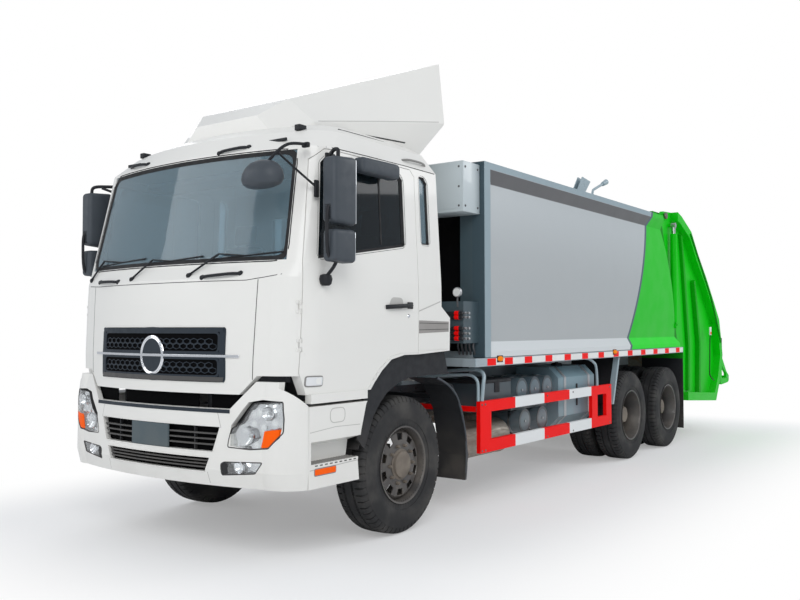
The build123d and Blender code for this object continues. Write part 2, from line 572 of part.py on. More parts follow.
def make_cab_interior():
    dash = side_prism([(-1300, 1800), (-1330, 2000), (-1180, 2030), (-900, 1990), (-880, 1800)], -1080, 1080)
    dash = dash & cab_form(CAB_WALL + 2, roof_drop=CAB_WALL + 2)
    legs = block((-1080, -900), (-1200, -900), (CAB_FLOOR_Z + CAB_FLOOR_T, 1801))
    column = rod_between(42, (-560, -782, 1832), (-560, -1060, 1230)) & block(
        (-700, -400), (-1100, -700), (CAB_FLOOR_Z + CAB_FLOOR_T, 1900))
    bracket = block((-600, -520), (-930, -830), (1790, 1830))
    keep("dashboard", fuse(dash, legs, mirrored(legs), column, bracket))
    seats = []
    floor = CAB_FLOOR_Z + CAB_FLOOR_T
    for x in (-760, 760):
        base = block((x - 200, x + 200), (-420, 0), (floor, 1560))
        cushion = block((x - 245, x + 245), (-520, 40), (1560, 1700))
        back = side_prism([(-60, 1700), (60, 1700), (210, 2380), (110, 2380)], x - 235, x + 235)
        head = side_prism([(120, 2380), (205, 2380), (235, 2580), (150, 2580)], x - 120, x + 120)
        seats.append(fuse(base, cushion, back, head))
    keep("seats", *seats)
    centre, radius = (-560, -700, 2010), 230
    plane = Plane(origin=centre, z_dir=(0, 0.42, 0.91))
    ring = plane * Torus(radius, 16)
    hub = extrude(plane * Circle(55), 30, both=True)
    spokes = [extrude(plane * Rot(0, 0, a) * Pos(radius / 2, 0) * Rectangle(radius, 36), 8, both=True)
              for a in (0, 180, 270)]
    column = plane * Pos(0, 0, -110) * Cylinder(32, 170)
    keep("steering_wheel", fuse(ring, hub, *spokes, column))


# ---- load body ----------------------------------------------------------------------------------
def seam_y(z):
    """Where the rear frame's back face lies at height z."""
    return SEAM_TOP_Y + SEAM_LEAN * (BODY_TOP - z) / (BODY_TOP - BODY_FLOOR_Z)


def body_profile(x_out, x_in):
    """A side wall's section: flat rails at foot and head, and a bowed panel set back between them."""
    back = x_out - 65
    edges = [Line((x_in, BODY_FLOOR_Z), (x_out, BODY_FLOOR_Z)), Line((x_out, BODY_FLOOR_Z), (x_out, 1400)),
             Line((x_out, 1400), (back, 1490)), ThreePointArc((back, 1490), (x_out - 8, 2215), (back, 2940)),
             Line((back, 2940), (x_out, 3060)), Line((x_out, 3060), (x_out, BODY_TOP)),
             Line((x_out, BODY_TOP), (x_in, BODY_TOP)), Line((x_in, BODY_TOP), (x_in, BODY_FLOOR_Z))]
    return make_face(edges)


def seam_zone(shift0, shift1):
    """Everything between two planes parallel to the seam, as a wide prism."""
    z0, z1 = 1000, 3400
    points = [(seam_y(z0) + shift0, z0), (seam_y(z0) + shift1, z0), (seam_y(z1) + shift1, z1),
              (seam_y(z1) + shift0, z1)]
    return side_prism(points, -1400, 1400)


def make_body():
    length = SEAM_FOOT_Y - BODY_FRONT
    wall = extrude(Plane.XZ.offset(-SEAM_FOOT_Y) * body_profile(BODY_X, BODY_WALL_X), length)
    post = block((BODY_WALL_X, BODY_X), (BODY_FRONT, BODY_FRONT + 105), (BODY_FLOOR_Z, BODY_TOP))
    wall = (wall + post) & seam_zone(-9000, -SEAM_BAND)
    keep("body_sides", wall, mirrored(wall))
    roof = block((-BODY_WALL_X, BODY_WALL_X), (BODY_FRONT + 105, SEAM_FOOT_Y), (BODY_TOP - BODY_ROOF_T, BODY_TOP))
    keep("body_roof", roof & seam_zone(-9000, -SEAM_BAND))
    bulkhead = block((-BODY_WALL_X, BODY_WALL_X), (BODY_FRONT + 150, BODY_FRONT + 200),
                     (BODY_FLOOR_Z + BODY_FLOOR_T, BODY_TOP - BODY_ROOF_T))
    posts = [block((min(s * 990, s * BODY_WALL_X), max(s * 990, s * BODY_WALL_X)), (BODY_FRONT, BODY_FRONT + 151),
                   (BODY_FLOOR_Z + BODY_FLOOR_T, BODY_TOP - BODY_ROOF_T)) for s in (-1, 1)]
    head = block((-BODY_WALL_X, BODY_WALL_X), (BODY_FRONT, BODY_FRONT + 105), (BODY_TOP - BODY_ROOF_T, BODY_TOP))
    box = block((760, 1200), (870, BODY_FRONT), (2640, 3085))
    valves = block((900, 1180), (900, BODY_FRONT), (1480, 1850))
    keep("body_front", fuse(bulkhead, *posts, head, box, valves))
    floor = block((-BODY_WALL_X, BODY_WALL_X), (BODY_FRONT, SEAM_FOOT_Y), (SIDE_RAIL_Z[1], BODY_FLOOR_Z + BODY_FLOOR_T))
    floor = floor & seam_zone(-9000, -SEAM_BAND)
    edge = block((BODY_WALL_X - 1, BODY_X), (SIDE_RAIL_Y[0], SIDE_RAIL_Y[1]), (SIDE_RAIL_Z[0], SIDE_RAIL_Z[1]))
    rib = [block((-BODY_WALL_X, BODY_WALL_X), (y - 40, y + 40), (SIDE_RAIL_Z[0], SIDE_RAIL_Z[1] + 1))
           for y in range(SIDE_RAIL_Y[0] + 70, RAIL_REAR, 620)]
    runner = block((RAIL_X - RAIL_FLANGE, RAIL_X), (1010, RAIL_REAR), (RAIL_TOP, SIDE_RAIL_Z[0] + 1))
    keep("body_floor", fuse(floor, edge, mirrored(edge), runner, mirrored(runner), *rib))
    reach = (SEAM_TOP_Y - 650, SEAM_FOOT_Y + 200)
    ring = block((-1130, 1130), reach, (BODY_FLOOR_Z, BODY_TOP)) - block(
        (-1040, 1040), reach, (BODY_FLOOR_Z + BODY_FLOOR_T, BODY_TOP - BODY_ROOF_T))
    ring = ring & seam_zone(SEAT_GAP - SEAM_BAND, 0)
    hinge_y, hinge_z = HINGE
    x0, x1 = TAIL_X[0] - 90, TAIL_X[0] - 15
    ear = block((x0, x1), (hinge_y - 260, hinge_y), (BODY_TOP - 1, hinge_z + 45)) + rod_x(45, hinge_y, hinge_z, x0, x1)
    ear = ear & block((0, BODY_X), (hinge_y - 900, hinge_y + 100), (BODY_TOP - 1, hinge_z + 100))
    pin = rod_x(HINGE_PIN_R, hinge_y, hinge_z, x0, TAIL_X[1] + 20)
    foot_pin = rod_x(LIFT_PIN_R, LIFT_FOOT[0], LIFT_FOOT[1], 1129, LIFT_X + 30)
    fittings = fuse(ear, pin, foot_pin)
    keep("body_rear_frame", fuse(ring, fittings, mirrored(fittings)))


def make_ejector():
    """The push plate: a leaning panel with a box foot that slides along the floor."""
    lean = SEAM_LEAN / (BODY_TOP - BODY_FLOOR_Z)
    foot_z, top_z, foot_y = BODY_FLOOR_Z + BODY_FLOOR_T + SEAT_GAP, 3020, 2060
    top_y = foot_y - lean * (top_z - foot_z)
    panel = side_prism([(foot_y, foot_z), (foot_y + 50, foot_z), (top_y + 50, top_z), (top_y, top_z)], -1030, 1030)
    foot = side_prism([(foot_y - 420, foot_z), (foot_y + 1, foot_z), (foot_y - 60, foot_z + 350)], -900, 900)
    keep("ejector_plate", fuse(panel, foot))


# ---- tailgate -----------------------------------------------------------------------------------
# tailgate side outline behind the hinge, down to the foot: y from the seam's foot, z
TAIL_OUTLINE = ((-210, 3245), (-40, 3200), (390, 3020), (710, 2700), (1090, 2380), (1490, 2000), (1750, 1740),
                (1850, 1420), (1910, 1180), (1760, 800), (1530, 480), (30, 580), (30, 1270))
# outer face of the tailgate's cover: y from the seam's foot, z
COVER_OUTLINE = ((-440, 3190), (-210, 3205), (-40, 3160), (365, 2990), (1050, 2370))
COVER_T = 45


def tail_front(z):
    return seam_y(z) + SEAM_GAP


def slide_point(travel, along=0, out=0):
    """A point on the packer: travel from rest, along the guides from the sweep pivot, and out of their plane."""
    a = radians(SLIDE_ANGLE)
    run = travel - SLIDE_TRAVEL + along
    return (BLADE_LOW[0] + run * cos(a) + out * sin(a), BLADE_LOW[1] - run * sin(a) + out * cos(a))


def slide_box(s0, s1, n0, n1, x0, x1):
    """A box lined up with the guides, at rest."""
    corners = [slide_point(0, s, n) for s, n in ((s0, n0), (s1, n0), (s1, n1), (s0, n1))]
    return side_prism(corners, x0, x1)


def slide_rod(r, s0, s1, n, x):
    y0, z0 = slide_point(0, s0, n)
    y1, z1 = slide_point(0, s1, n)
    return rod_between(r, (x, y0, z0), (x, y1, z1))


def make_tailgate():
    outline = [(tail_front(3110), 3110), (HINGE[0] - 70, HINGE[1] + 20), (HINGE[0] - 30, HINGE[1] + 60)]
    outline += [(SEAM_FOOT_Y + y, z) for y, z in TAIL_OUTLINE] + [(tail_front(1350), 1350)]
    plate = side_prism(outline, TAIL_X[0], TAIL_X[1])
    face = side_face(outline)
    rim_face = face - offset(face, -TAIL_RIM_W, kind=Kind.INTERSECTION)
    rim_piece = extrude(Plane.YZ.offset(TAIL_X[1] - 1) * rim_face, TAIL_RIM_X - TAIL_X[1] + 1)
    front_side = [(SEAM_FOOT_Y + y, z) for y, z in
                  ((-900, 400), (160, 400), (160, 1350), (-100, 2930), (-210, 3060), (-210, 3400), (-900, 3400))]
    rim_piece = rim_piece - side_prism(front_side, 1100, 1300)
    bore = rod_x(HINGE_PIN_R + PIN_GAP, HINGE[0], HINGE[1], 900, 1300)
    eye_pin = rod_x(20, LIFT_EYE[0], LIFT_EYE[1], TAIL_X[1] - 1, LIFT_X - 32)
    pivot_y, pivot_z = LIFTER_PIVOT
    lug = block(TAIL_X, (pivot_y - 250, pivot_y), (pivot_z - 40, pivot_z + 40)) + rod_x(40, pivot_y, pivot_z, *TAIL_X)
    lifter_pin = rod_x(LIFTER_PIN_R, pivot_y, pivot_z, TAIL_X[0], LIFTER_X[1] + 8)
    side = fuse(plate, rim_piece, eye_pin, lug, lifter_pin) - bore
    keep("tailgate_sides", side, mirrored(side))
    cover = [(SEAM_FOOT_Y + y, z) for y, z in COVER_OUTLINE]
    lean = COVER_T / 2 ** 0.5
    inside = [(cover[0][0], cover[0][1] - COVER_T)] + [(y - lean, z - lean * 1.2) for y, z in cover[1:]]
    inside.reverse()
    sheet = side_prism(cover + inside, -TAIL_X[0], TAIL_X[0])
    keep("hopper_tray", hopper_tray())
    barrels = []
    for x in (-750, 750):
        barrels.append(slide_rod(50, -910, -150, 200, x))
    top_y, top_z = slide_point(0, -910, 200)
    tube = rod_x(45, top_y, top_z, -TAIL_X[0], TAIL_X[0])
    bores = [slide_rod(36, -850, -140, 200, x) for x in (-750, 750)]
    piece = fuse(tube, *barrels)
    for bore_x in bores:
        piece = piece - bore_x
    keep("tailgate_cover", sheet, piece)


def hopper_tray():
    """The curved hopper floor below the sweep, up to the load sill behind and the body floor in front."""
    cy, cz = BLADE_LOW
    inner, outer = BLADE_R + TRAY_CLEAR, BLADE_R + TRAY_CLEAR + TRAY_T

    def at(radius, angle):
        return (cy + radius * sin(radians(angle)), cz - radius * cos(radians(angle)))

    front_top = (tail_front(1350) + 12, 1350)
    front_low = (tail_front(1350) + 12, 1285)
    edges = [Line(front_top, at(inner, -60)), ThreePointArc(at(inner, -60), at(inner, 8), at(inner, 75)),
             Line(at(inner, 75), at(outer, 75)), ThreePointArc(at(outer, 75), at(outer, 8), at(outer, -60)),
             Line(at(outer, -60), front_low), Line(front_low, front_top)]
    tray = extrude(Plane.YZ.offset(-TAIL_X[0]) * make_face(edges), 2 * TAIL_X[0])
    return tray


def make_packer():
    """The carriage on its guides, with the two rods that drive it, and the sweep blade below it."""
    panel = slide_box(-820, -90, -55, 55, -1020, 1020)
    shoes = [slide_box(-800, -150, -40, 40, min(s * 1000, s * (TAIL_X[0] - 0.5)), max(s * 1000, s * (TAIL_X[0] - 0.5)))
             for s in (-1, 1)]
    ears = [slide_box(-120, 55, -55, 55, s * 985 - 30, s * 985 + 30) for s in (-1, 1)]
    lugs = [slide_box(-140, -95, 50, 235, s * 750 - 30, s * 750 + 30) for s in (-1, 1)]
    rods = [slide_rod(34, -845, -120, 200, x) for x in (-750, 750)]
    pivot_y, pivot_z = slide_point(0)
    carriage = fuse(panel, *shoes, *ears, *lugs, *rods)
    carriage = carriage - rod_x(38 + PIN_GAP, pivot_y, pivot_z, -1100, 1100)
    keep("packer_carriage", carriage)
    a = radians(BLADE_REST)
    out, across = (sin(a), -cos(a)), (cos(a), sin(a))

    def at(u, v):
        return (pivot_y + u * out[0] + v * across[0], pivot_z + u * out[1] + v * across[1])

    leaf = side_prism([at(30, -40), at(BLADE_R, -15), at(BLADE_R, 15), at(30, 40)], -1020, 1020)
    leaf = leaf - rod_x(85, pivot_y, pivot_z, 945, 1100) - rod_x(85, pivot_y, pivot_z, -1100, -945)
    tube = rod_x(55, pivot_y, pivot_z, -940, 940)
    pin = rod_x(38, pivot_y, pivot_z, -1015, 1015)
    keep("sweep_blade", fuse(leaf, tube, pin))


def make_lift_cylinders():
    """A cylinder each side: the barrel turns on the body's pin, the rod's eye meets the tailgate's pin."""
    foot, eye = Vector(LIFT_X, *LIFT_FOOT), Vector(LIFT_X, *LIFT_EYE)
    way = (eye - foot).normalized()
    length = (eye - foot).length
    barrel_len = length - 120
    tube = rod_between(LIFT_BARREL_R, tuple(foot + way * 45), tuple(foot + way * barrel_len))
    tube = tube - rod_between(LIFT_ROD_R + 0.5, tuple(foot + way * 90), tuple(foot + way * (barrel_len + 5)))
    boss = rod_x(42, LIFT_FOOT[0], LIFT_FOOT[1], LIFT_X - 40, LIFT_X + 40)
    barrel = fuse(tube, boss, rod_between(30, tuple(foot), tuple(foot + way * 60)))
    barrel = barrel - rod_x(LIFT_PIN_R + PIN_GAP, LIFT_FOOT[0], LIFT_FOOT[1], LIFT_X - 60, LIFT_X + 60)
    rod = rod_between(LIFT_ROD_R, tuple(foot + way * 100), tuple(eye))
    rod = rod + rod_x(38, LIFT_EYE[0], LIFT_EYE[1], LIFT_X - 30, LIFT_X + 30)
    for side, turn in (("left", lambda s: s), ("right", mirrored)):
        keep(f"lift_barrel_{side}", turn(barrel))
        keep(f"lift_rod_{side}", turn(rod))


def make_bin_lifter():
    """The frame that hooks a wheeled bin and tips it over the sill: two side arms, a comb and a cross plate."""
    py, pz = LIFTER_PIVOT
    arm = [(py - 32, pz + 12), (py + 10, pz + 42), (py + 60, pz + 30), (REAR_END - 130, 900), (REAR_END, 830),
           (REAR_END, 745), (REAR_END - 60, 720), (py + 30, 700), (py - 30, 740)]
    slot = [(py + 55, pz - 110), (REAR_END - 150, 870), (REAR_END - 150, 800), (py + 55, 780)]
    x0, x1 = LIFTER_X
    plate_arm = side_prism(arm, x0, x1) - side_prism(slot, x0 - 5, x1 + 5)
    plate_arm = plate_arm - rod_x(LIFTER_PIN_R + PIN_GAP, py, pz, x0 - 5, x1 + 5)
    comb = block((-x0 - 1, x0 + 1), (REAR_END - 80, REAR_END - 10), (745, 825))
    plate = block((-x0 - 1, x0 + 1), (py - 28, py + 4), (745, 1010))
    keep("bin_lifter", fuse(comb, plate, plate_arm, mirrored(plate_arm)))


def export_all():
    os.makedirs("parts", exist_ok=True)
    for name, shape in nodes.items():
        export_step(Pos(0, -MIDDLE_Y, 0) * shape, f"parts/{name}.step")
    print(len(nodes), "nodes")


make_wheels()
make_front_axle()
make_knuckles()
make_rear_axles()
make_springs()
make_frame()
make_engine()
make_tanks()
make_muffler()
make_side_guards()
make_mudguards()
make_bumper()
make_steps()
make_cab()
make_doors()
make_cab_trim()
make_cab_interior()
make_body()
make_ejector()
make_tailgate()
make_packer()
make_lift_cylinders()
make_bin_lifter()
export_all()
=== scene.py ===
import bmesh
import bpy
import math
from mathutils import Matrix, Vector
from mathutils.bvhtree import BVHTree

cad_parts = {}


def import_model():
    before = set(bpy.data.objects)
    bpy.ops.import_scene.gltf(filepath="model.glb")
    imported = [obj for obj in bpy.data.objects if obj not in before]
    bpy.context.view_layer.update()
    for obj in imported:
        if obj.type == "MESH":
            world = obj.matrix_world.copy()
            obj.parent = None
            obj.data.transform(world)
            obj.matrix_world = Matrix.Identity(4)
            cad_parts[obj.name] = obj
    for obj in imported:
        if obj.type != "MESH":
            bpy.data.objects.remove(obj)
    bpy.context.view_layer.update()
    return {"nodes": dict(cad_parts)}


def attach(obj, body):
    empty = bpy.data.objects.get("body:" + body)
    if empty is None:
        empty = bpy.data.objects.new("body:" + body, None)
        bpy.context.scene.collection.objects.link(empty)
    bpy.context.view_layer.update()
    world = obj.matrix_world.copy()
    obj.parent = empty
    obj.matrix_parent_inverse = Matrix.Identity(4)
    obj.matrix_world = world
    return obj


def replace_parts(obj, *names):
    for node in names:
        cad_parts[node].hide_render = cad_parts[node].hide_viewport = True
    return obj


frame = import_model()
NODES = frame["nodes"]

# The numbers below are in millimetres in the truck's axle frame: y = 0 at the front axle, z = 0 on the
# ground, +X the truck's left side, the truck facing -Y.
MIDDLE_Y = 3867.5
WHEELBASE = 4800
BOGIE = 1350
TYRE_R = 540
FRONT_WHEEL_X = 1040
REAR_WHEEL_X = 1060
LAST_AXLE = WHEELBASE + BOGIE
DUAL_PITCH = 345
SEAM_FOOT_Y = 6800
TAIL_X = 1120
RIM_X = 1220
RAIL_X = 430
SIDE_X = 1250


def row(y):
    """A y of the axle frame as a row-frame y in metres."""
    return (y - MIDDLE_Y) / 1000


def at(x, y, z):
    """A point of the axle frame as a row-frame point in metres."""
    return Vector((x, y - MIDDLE_Y, z)) / 1000


# ---- materials ----------------------------------------------------------------------------------
class Graph:
    """A Principled material and short ways to add nodes to it."""

    def __init__(self, name, color, roughness=0.5, metallic=0.0, coat=0.0, transmission=0.0, ior=1.5,
            specular=0.5):
        self.material = bpy.data.materials.new(name)
        self.material.use_nodes = True
        self.nodes = self.material.node_tree.nodes
        self.links = self.material.node_tree.links
        self.shader = self.nodes["Principled BSDF"]
        self.set("Base Color", (*color, 1.0))
        self.set("Roughness", roughness)
        self.set("Metallic", metallic)
        self.set("Specular IOR Level", specular)
        self.set("Coat Weight", coat)
        self.set("Coat Roughness", 0.05)
        self.set("Transmission Weight", transmission)
        self.set("IOR", ior)
        self.material.diffuse_color = (*color, 1.0)
        self.coords = self.nodes.new("ShaderNodeTexCoord").outputs["Object"]

    def set(self, socket, value):
        self.shader.inputs[socket].default_value = value

    def math(self, kind, a, b):
        node = self.nodes.new("ShaderNodeMath")
        node.operation = kind
        for socket, value in zip(node.inputs, (a, b)):
            if isinstance(value, (int, float)):
                socket.default_value = value
            else:
                self.links.new(value, socket)
        return node.outputs[0]

    def axis(self, letter):
        node = self.nodes.new("ShaderNodeSeparateXYZ")
        self.links.new(self.coords, node.inputs[0])
        return node.outputs[letter]

    def noise(self, scale, detail, stretch=(1, 1, 1)):
        mapping = self.nodes.new("ShaderNodeMapping")
        mapping.inputs["Scale"].default_value = stretch
        node = self.nodes.new("ShaderNodeTexNoise")
        node.inputs["Scale"].default_value = scale
        node.inputs["Detail"].default_value = detail
        self.links.new(self.coords, mapping.inputs[0])
        self.links.new(mapping.outputs[0], node.inputs["Vector"])
        return node.outputs["Fac"]

    def ramp(self, value, low, high, out_low=0.0, out_high=1.0):
        node = self.nodes.new("ShaderNodeMapRange")
        node.interpolation_type = "SMOOTHSTEP"
        for socket, number in zip(("From Min", "From Max", "To Min", "To Max"),
                (low, high, out_low, out_high)):
            node.inputs[socket].default_value = number
        self.links.new(value, node.inputs["Value"])
        return node.outputs[0]

    def blend(self, amount, color):
        """Lay color over what the base colour is so far, by amount."""
        node = self.nodes.new("ShaderNodeMix")
        node.data_type = "RGBA"
        base = self.shader.inputs["Base Color"]
        if base.is_linked:
            self.links.new(base.links[0].from_socket, node.inputs["A"])
        else:
            node.inputs["A"].default_value = base.default_value
        node.inputs["B"].default_value = (*color, 1.0)
        if isinstance(amount, (int, float)):
            node.inputs["Factor"].default_value = amount
        else:
            self.links.new(amount, node.inputs["Factor"])
        self.links.new(node.outputs["Result"], base)

    def rough(self, value):
        self.links.new(value, self.shader.inputs["Roughness"])

    def bump(self, height, strength, distance):
        node = self.nodes.new("ShaderNodeBump")
        node.inputs["Strength"].default_value = strength
        node.inputs["Distance"].default_value = distance
        self.links.new(height, node.inputs["Height"])
        before = self.shader.inputs["Normal"]
        if before.is_linked:
            self.links.new(before.links[0].from_socket, node.inputs["Normal"])
        self.links.new(node.outputs[0], before)

    def dust(self, color, low, high, most):
        """Road dust that thickens from height high down to height low, broken up by noise."""
        fade = self.ramp(self.axis("Z"), low, high, most, 0.0)
        patches = self.ramp(self.noise(3.5, 6.0), 0.35, 0.7, 0.25, 1.0)
        self.blend(self.math("MULTIPLY", fade, patches), color)


DUST = (0.36, 0.31, 0.25)


def paint(name, color, dirt, coat=0.35, roughness=0.36, specular=0.4):
    g = Graph(name, color, roughness, coat=coat, specular=specular)
    g.blend(g.ramp(g.noise(0.8, 3.0), 0.35, 0.8, 0.0, 0.3), tuple(c * 0.95 for c in color))
    g.dust(DUST, 0.35, 1.3, dirt)
    g.rough(g.ramp(g.noise(5.0, 4.0), 0.25, 0.8, roughness - 0.03, roughness + 0.06))
    return g.material


def plastic(name, color, roughness=0.55, grain=420.0, specular=0.4):
    g = Graph(name, color, roughness, specular=specular)
    g.blend(g.ramp(g.noise(3.0, 4.0), 0.4, 0.8, 0.0, 0.3), tuple(min(1.0, c * 1.3 + 0.006) for c in color))
    g.dust(DUST, 0.25, 1.1, 0.18)
    g.rough(g.ramp(g.noise(14.0, 4.0), 0.3, 0.7, roughness - 0.08, roughness + 0.12))
    g.bump(g.noise(grain, 2.0), 0.12, 0.0008)
    return g.material


def metal(name, color, roughness, stretch=(1, 1, 1), scale=60.0):
    g = Graph(name, color, roughness, metallic=1.0)
    g.rough(g.ramp(g.noise(scale, 6.0, stretch), 0.25, 0.75, roughness * 0.7, min(1.0, roughness * 1.5)))
    g.blend(g.ramp(g.noise(6.0, 6.0), 0.5, 0.85, 0.0, 0.4), tuple(c * 0.6 for c in color))
    g.bump(g.noise(scale * 4, 3.0, stretch), 0.08, 0.0005)
    return g.material


def worn_steel():
    g = Graph("worn_steel", (0.20, 0.18, 0.16), 0.55, metallic=0.7)
    g.blend(g.ramp(g.noise(7.0, 8.0), 0.48, 0.62), (0.24, 0.12, 0.06))
    g.blend(g.ramp(g.noise(30.0, 4.0, (1, 6, 1)), 0.6, 0.75, 0.0, 0.6), (0.42, 0.40, 0.38))
    g.rough(g.ramp(g.noise(20.0, 5.0), 0.3, 0.7, 0.35, 0.8))
    g.bump(g.noise(90.0, 5.0), 0.35, 0.002)
    return g.material


def lens(name, color):
    """Coloured reflector plastic, vivid from any side."""
    g = Graph(name, color, 0.45, specular=0.12)
    ribs = g.noise(70.0, 1.0, (1, 1, 0.3))
    g.blend(g.ramp(ribs, 0.45, 0.7, 0.0, 0.35), tuple(min(1.0, c * 1.25) for c in color))
    g.bump(ribs, 0.15, 0.001)
    return g.material


def painted_shade_black():
    """Painted shade: plain black that stands in for the unlit inside of an opening."""
    return Graph("painted_shade_black", (0.0035, 0.0035, 0.004), 0.9, specular=0.05).material


def tyre_rubber():
    g = Graph("tyre_rubber", (0.026, 0.026, 0.027), 0.75, specular=0.3)
    g.blend(g.ramp(g.noise(4.0, 7.0), 0.40, 0.78, 0.0, 0.75), (0.085, 0.080, 0.074))
    g.bump(g.noise(240.0, 3.0), 0.25, 0.0015)
    return g.material


def fabric():
    g = Graph("seat_fabric", (0.055, 0.065, 0.085), 0.9)
    weave = g.nodes.new("ShaderNodeTexWave")
    weave.inputs["Scale"].default_value = 160.0
    weave.inputs["Distortion"].default_value = 1.5
    g.links.new(g.coords, weave.inputs["Vector"])
    g.blend(g.ramp(weave.outputs["Fac"], 0.3, 0.7, 0.0, 0.6), (0.11, 0.12, 0.15))
    g.bump(weave.outputs["Fac"], 0.4, 0.001)
    g.set("Sheen Weight", 0.3)
    return g.material


def tank_paint():
    """Dark in front, where the air tanks and the battery box are, and pale on the oil tank."""
    g = Graph("tank_paint", (0.050, 0.072, 0.086), 0.4, coat=0.2, specular=0.35)
    g.blend(g.ramp(g.axis("Y"), row(2845), row(2850)), (0.20, 0.31, 0.36))
    g.dust(DUST, 0.35, 1.3, 0.3)
    return g.material


def glass(name, color, clear, coat=0.3, specular=0.5):
    g = Graph(name, color, 0.03, transmission=clear, ior=1.25, coat=coat, specular=specular)
    g.blend(g.ramp(g.noise(2.2, 4.0), 0.45, 0.8, 0.0, 0.3), tuple(min(1.0, c * 1.15) for c in color))
    return g.material


GREEN = (0.0, 0.56, 0.003)
GREEN_FOOT_Y = 4770
GREEN_LEAN = 0.451


def side_paint():
    """The load body's side: silver-grey and the green rear, with a painted highlight on the foot band and
    painted shade on the head band.
    """
    g = Graph("side_paint", (0.43, 0.455, 0.465), 0.34, specular=0.2)
    y, z = g.axis("Y"), g.axis("Z")
    # painted reflection: paler towards the head band; long soft streaks along the panel
    g.blend(g.ramp(z, 2.1, 2.95, 0.0, 0.55), (0.52, 0.56, 0.58))
    g.blend(g.ramp(g.noise(0.7, 2.0, (1, 0.35, 2.2)), 0.45, 0.8, 0.0, 0.35), (0.50, 0.51, 0.51))
    # painted highlight: the foot band, below 1.49 m, is paler
    foot_highlight = g.math("SUBTRACT", 1.0, g.ramp(z, 1.485, 1.495))
    g.blend(foot_highlight, (0.66, 0.69, 0.70))
    # painted shade: the dark band under the top rail, from 2.94 m to 3.06 m
    head = g.math("MULTIPLY", g.ramp(z, 2.935, 2.945), g.math("SUBTRACT", 1.0, g.ramp(z, 3.055, 3.06)))
    g.blend(head, (0.135, 0.135, 0.14))
    g.blend(g.ramp(z, 3.058, 3.062), (0.30, 0.38, 0.42))
    front = g.math("SUBTRACT", 1.0, g.ramp(y, row(1256), row(1260)))
    g.blend(front, (0.058, 0.089, 0.107))
    outside = g.ramp(g.math("ABSOLUTE", g.axis("X"), 0.0), 1.244, 1.247)
    g.blend(g.math("MULTIPLY", front, outside), (0.30, 0.38, 0.42))
    # the green area starts on a line that leans back upwards from the foot band
    edge = g.math("SUBTRACT", y, g.math("MULTIPLY", z, GREEN_LEAN))
    start = row(GREEN_FOOT_Y) - GREEN_LEAN * 1.49
    g.blend(g.ramp(edge, start - 0.062, start - 0.057), (0.085, 0.12, 0.16))
    g.blend(g.ramp(edge, start, start + 0.004), GREEN)
    # painted highlight: the green is brighter in the foot band as well
    g.blend(g.math("MULTIPLY", g.ramp(edge, start, start + 0.004), foot_highlight), (0.0, 0.74, 0.01))
    g.rough(g.ramp(g.noise(4.0, 3.0), 0.3, 0.7, 0.30, 0.40))
    return g.material


def banded_guard():
    """Red with white stretches between stations along Y."""
    g = Graph("guard_paint", (0.95, 0.003, 0.003), 0.45, specular=0.12)
    y = g.axis("Y")
    for y0, y1 in ((1740, 2350), (2940, 3510)):
        inside = g.math("MULTIPLY", g.ramp(y, row(y0), row(y0) + 0.002),
            g.math("SUBTRACT", 1.0, g.ramp(y, row(y1) - 0.002, row(y1))))
        g.blend(inside, (0.80, 0.82, 0.82))
    return g.material


def reflector():
    """A bright pressed bowl with soft facets."""
    g = Graph("reflector", (0.80, 0.81, 0.82), 0.12, metallic=1.0)
    facets = g.nodes.new("ShaderNodeTexVoronoi")
    facets.inputs["Scale"].default_value = 16.0
    g.links.new(g.coords, facets.inputs["Vector"])
    g.blend(g.ramp(facets.outputs["Distance"], 0.1, 0.7, 0.0, 0.45), (0.33, 0.34, 0.36))
    g.bump(facets.outputs["Distance"], 0.9, 0.012)
    return g.material


